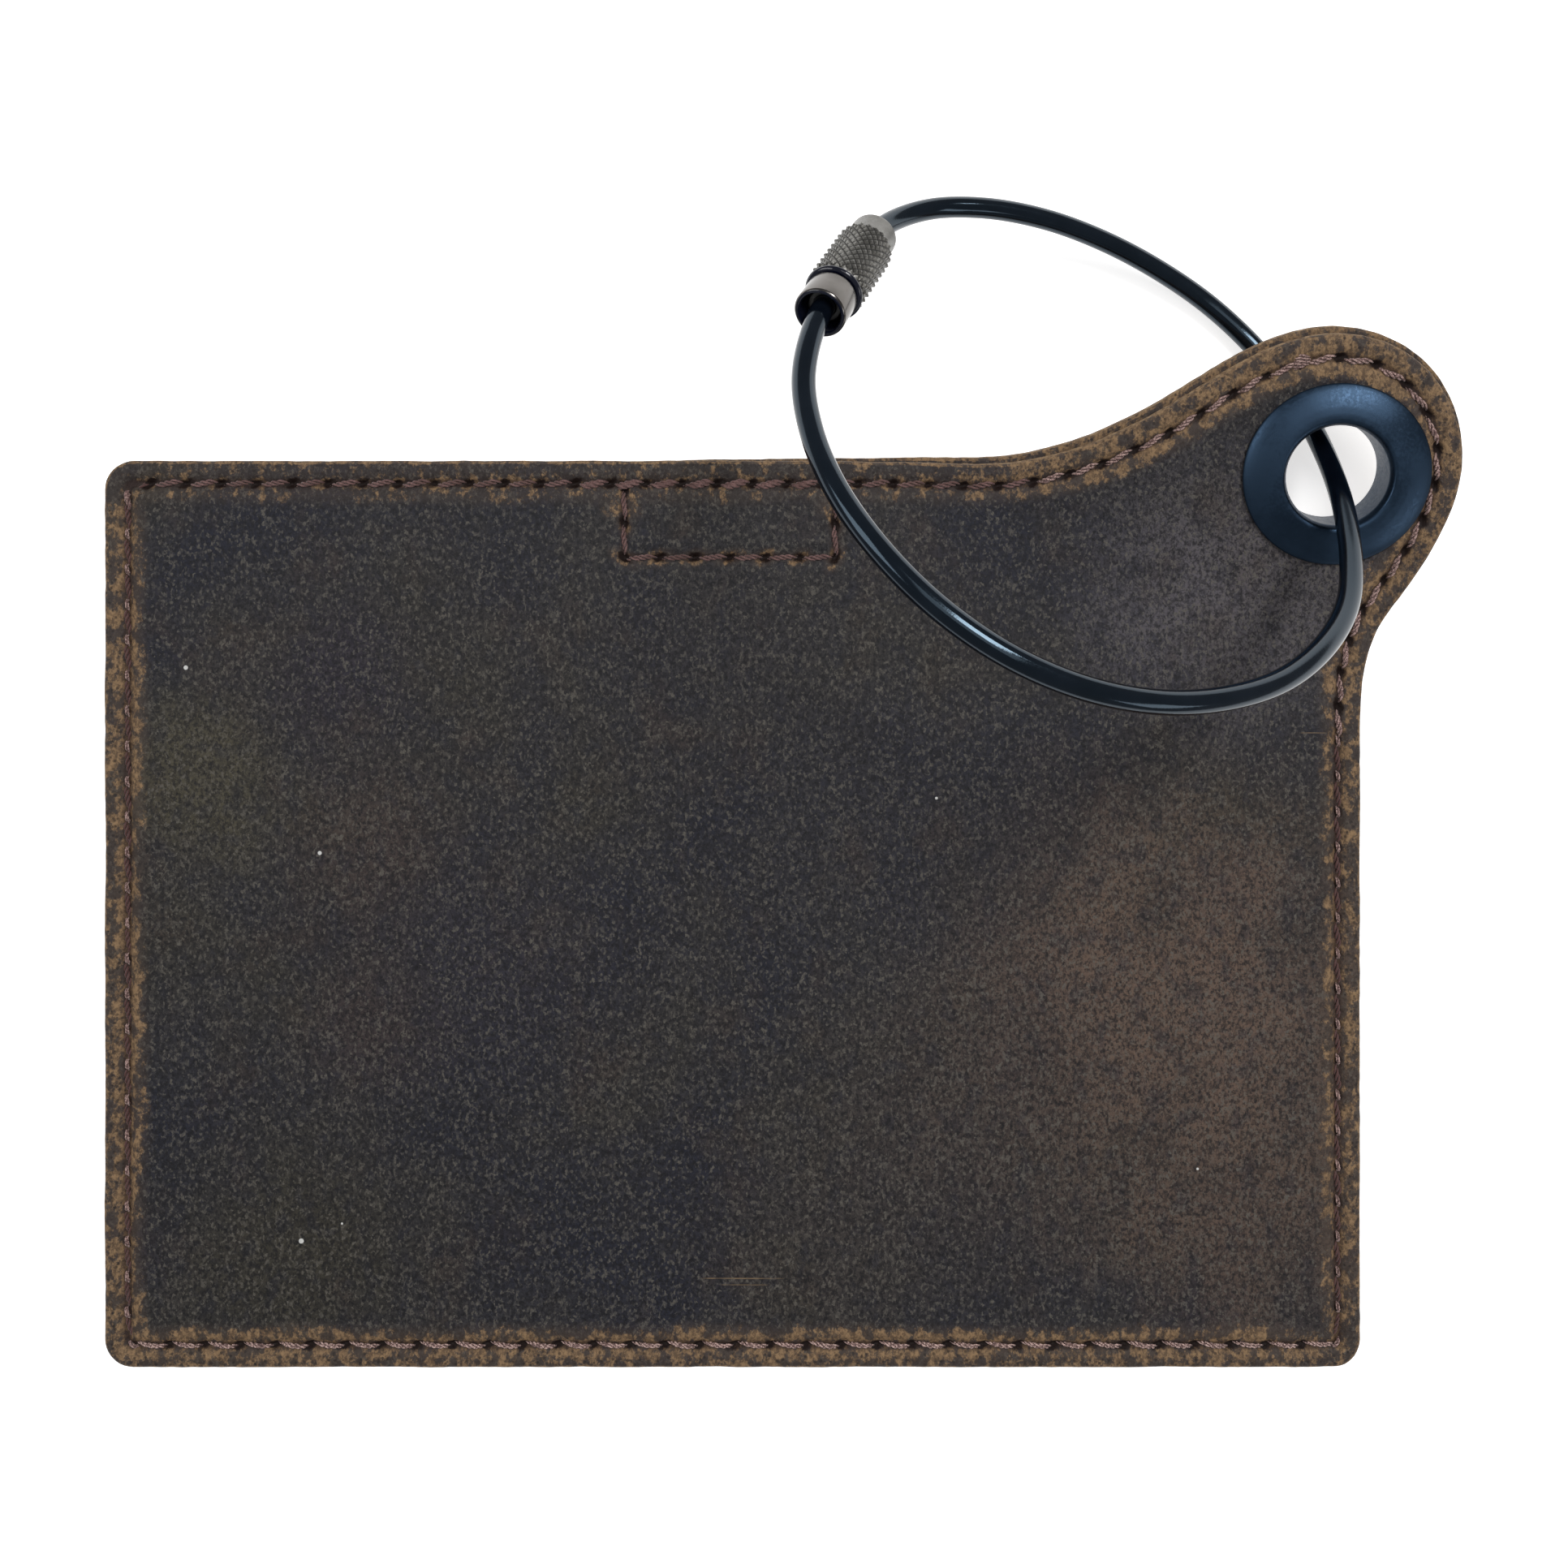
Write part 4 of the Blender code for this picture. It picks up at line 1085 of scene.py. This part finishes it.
def make_sleeve(paint):
    """The knurled sleeve: a plain bore and a smooth band, then diamond pyramids."""
    around = KNURLS_ROUND * 16
    heights = np.linspace(KNURL_START, KNURL_END, 128)
    share = np.linspace(0, KNURLS_ROUND, around, endpoint=False)[None, :]
    step = (heights / KNURL_PITCH)[:, None]
    relief = np.minimum(tooth(share + step), tooth(share - step))
    ends = smoothstep(heights, KNURL_START, KNURL_START + 0.35)
    ends = (ends * smoothstep(heights, KNURL_END, KNURL_END - 0.25))[:, None]
    knurl = KNURL_LOW - 0.13 * (1 - ends) + (KNURL_HIGH - KNURL_LOW) * relief * ends
    plain = SLEEVE_BEFORE_KNURL
    rows = [np.full(around, radius) for radius, _ in plain] + list(knurl) + [np.full(around, SLEEVE_MOUTH[0])]
    levels = [level for _, level in plain] + list(heights) + [SLEEVE_MOUTH[1]]
    ring = rings_round(LOCK_AXIS, around)
    verts = [SLEEVE_END + level * LOCK_AXIS + row[:, None] * ring for row, level in zip(rows, levels)]
    sleeve = add_mesh("sleeve", to_row(np.concatenate(verts)), grid_faces(len(rows), around))
    sleeve.data.set_sharp_from_angle(angle=math.radians(32))
    # The knurl's height, kept for the paint: painted shade in the grooves, painted highlights on the ridges,
    # the smooth band and the mouth.
    relief_for_painted_shade = [np.full(around, 0.6)] * len(plain) + list(relief) + [np.ones(around)]
    set_attribute(sleeve, "relief", np.concatenate(relief_for_painted_shade))
    return install(sleeve, "sleeve", paint, "knurled_sleeve")


# The cable.


def smooth_through(route, pieces):
    """Points on a smooth curve through the route, which starts and ends straight along the lock's axis."""
    stops = [np.array(place) for place in route]
    spans = [np.linalg.norm(b - a) for a, b in zip(stops, stops[1:])]
    slopes = [LOCK_AXIS]
    for i in range(1, len(stops) - 1):
        before, after = (stops[i] - stops[i - 1]) / spans[i - 1], (stops[i + 1] - stops[i]) / spans[i]
        slopes.append((before * spans[i] + after * spans[i - 1]) / (spans[i - 1] + spans[i]))
    slopes.append(LOCK_AXIS)
    points = []
    for i, span in enumerate(spans):
        for step in range(pieces):
            t = step / pieces
            points.append(
                (2 * t**3 - 3 * t**2 + 1) * stops[i]
                + (t**3 - 2 * t**2 + t) * span * slopes[i]
                + (3 * t**2 - 2 * t**3) * stops[i + 1]
                + (t**3 - t**2) * span * slopes[i + 1]
            )
    return np.array([*points, stops[-1]])


def make_cable(paint):
    line = to_row(smooth_through(CABLE_ROUTE, 9))
    data = bpy.data.curves.new("loop_cable", "CURVE")
    data.dimensions = "3D"
    data.bevel_depth = CABLE_RADIUS * MM
    data.bevel_resolution = 10
    data.use_fill_caps = True
    spline = data.splines.new("POLY")
    spline.points.add(len(line) - 1)
    for point, place in zip(spline.points, line):
        point.co = (*place, 1.0)
    spline.use_smooth = True
    cable = bpy.data.objects.new("loop_cable", data)
    bpy.context.scene.collection.objects.link(cable)
    install(cable, "cable_loop", paint, "cable_jacket")
    return cable, line[0]


def blacken_mouth(collar, black):
    """Paints the collar's end face and the inside of its mouth black; inside the mouth the black is painted
    shade.
    """
    collar.data.materials.append(black)
    base, axis = Vector(to_row(SLEEVE_END)), Vector(LOCK_AXIS)
    for face in collar.data.polygons:
        away = (face.center - base) / MM
        along = away.dot(axis)
        radius = (away - axis * along).length
        if along > 10.6 and radius < 1.94:
            face.material_index = 1


def repaint(name, material):
    """Gives a solid that stays a material of its own."""
    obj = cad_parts[name]
    obj.data.materials.clear()
    obj.data.materials.append(material)
    return obj


def make_lock_and_loop():
    jacket_dark, jacket_light = (0.0015, 0.0025, 0.005), (0.003, 0.0045, 0.008)
    jacket = coated("cable_finish", jacket_dark, jacket_light, 0.11, depth=0.004, tint=(0.58, 0.80, 1.0))
    steel_dark, steel_light = (0.100, 0.092, 0.084), (0.145, 0.135, 0.126)
    steel = coated("collar_finish", steel_dark, steel_light, 0.17, metallic=1.0, depth=0.008)
    dull = coated("ferrule_finish", (0.05, 0.05, 0.05), (0.11, 0.11, 0.11), 0.4, metallic=1.0)
    black = coated("black_ring_and_mouth_shade", (0.003, 0.004, 0.011), (0.006, 0.008, 0.018), 0.10)
    core = coated("core_finish", (0.35, 0.35, 0.33), (0.5, 0.5, 0.48), 0.35, metallic=1.0)
    cable, start = make_cable(jacket)
    pieces = []
    for name, profile, cut, body, slot, paint, solid in (
        ("collar", COLLAR_PROFILE, 0.06, "cable_loop", "collar_steel", steel, "screw_collar"),
        ("mouth_ferrule", COLLAR_FERRULE_PROFILE, 0.06, "cable_loop", "ferrule", dull, "collar_ferrule"),
        ("black_ring", RING_PROFILE, 0.0, "cable_loop", "lock_ring", black, "lock_ring"),
        ("inner_ferrule", STOP_FERRULE_PROFILE, 0.06, "sleeve_stop", "ferrule", dull, "stop_ferrule"),
    ):
        shape = softened(profile, cut) if cut else np.array(profile)
        piece = turn_profile(name, shape, SLEEVE_END, LOCK_AXIS, 80)
        pieces.append(install(piece, body, paint, solid))
    # The black inside the collar's mouth is painted shade.
    blacken_mouth(pieces[0], black)
    pieces += [make_sleeve(knurled_metal()), repaint("cable_core", core)]


def make_eyelet():
    base, above = curled(np.array([EYELET, EYELET]), [REAR_LOW, REAR_LOW + 1])
    axis = above - base
    navy, blue = (0.020, 0.037, 0.064), (0.026, 0.048, 0.082)
    paint = coated("eyelet_finish", navy, blue, 0.38, metallic=0.92, scale=0.8, depth=0.006)
    eyelet = turn_profile("eyelet_ring", softened(EYELET_PROFILE, 0.12), base, axis, 128)
    install(eyelet, "tag", paint, "eyelet")
    steel = coated("washer_finish", (0.30, 0.29, 0.27), (0.42, 0.40, 0.37), 0.34, metallic=1.0)
    washer = turn_profile("washer", softened(WASHER_PROFILE, 0.08), base, axis, 96)
    install(washer, "tag", steel, "eyelet_washer")


# Floor and lights.

FLOOR_HALF = 1.5
FLOOR_DROP = 0.0002
AIM = Vector((0.0, 0.01, 0.0))
# Name, place and size in metres, and power in watts.
LAMPS = (
    ("key", (0.20, 0.24, 0.47), (0.11, 0.26), 1.6),
    ("overhead", (0.08, 0.13, 0.62), (0.34, 0.34), 0.5),
    ("fill", (-0.42, 0.10, 0.38), (0.30, 0.30), 1.0),
    ("low", (0.42, -0.30, 0.30), (0.30, 0.16), 0.4),
)


def make_studio():
    corners = [(FLOOR_HALF * x, FLOOR_HALF * y, 0.0) for x, y in ((-1, -1), (1, -1), (1, 1), (-1, 1))]
    floor = add_mesh("floor", corners, [[0, 1, 2, 3]], smooth=False)
    floor.location.z = -FLOOR_DROP
    paint = Paint("floor_finish")
    pale = paint.mix(paint.noise(0.02, 2.0, 0.5), (0.90, 0.90, 0.90), (0.93, 0.93, 0.93))
    glow = {"Emission Color": (1.0, 1.0, 1.0, 1.0), "Emission Strength": 0.6}
    paint.feed(paint.surface, {"Base Color": pale, "Roughness": 0.9, **glow})
    floor.data.materials.append(paint.material)
    world = bpy.data.worlds.new("studio")
    world.use_nodes = True
    background = world.node_tree.nodes["Background"].inputs
    background["Color"].default_value = (1.0, 1.0, 1.0, 1.0)
    background["Strength"].default_value = 0.25
    bpy.context.scene.world = world
    for name, place, size, watts in LAMPS:
        data = bpy.data.lights.new(name, "AREA")
        data.shape = "RECTANGLE"
        data.size, data.size_y = size
        data.energy = watts
        lamp = bpy.data.objects.new(name, data)
        lamp.location = place
        lamp.rotation_euler = (AIM - Vector(place)).to_track_quat("-Z", "Y").to_euler()
        bpy.context.scene.collection.objects.link(lamp)
    bpy.context.scene.view_settings.view_transform = "Standard"


make_camera()
make_lock_and_loop()
make_eyelet()
make_leather(leather("front_leather_finish", PATCHES, SCRATCHES, LINT), leather("back_leather_finish"))
THREAD_PAINT = thread_material()
make_stitches(THREAD_PAINT)
for inner_thread in ("box_bobbin_thread", "window_bobbin_thread"):
    repaint(inner_thread, THREAD_PAINT)
repaint("clear_window", clear_plastic())
repaint("address_card", card_material())
make_studio()
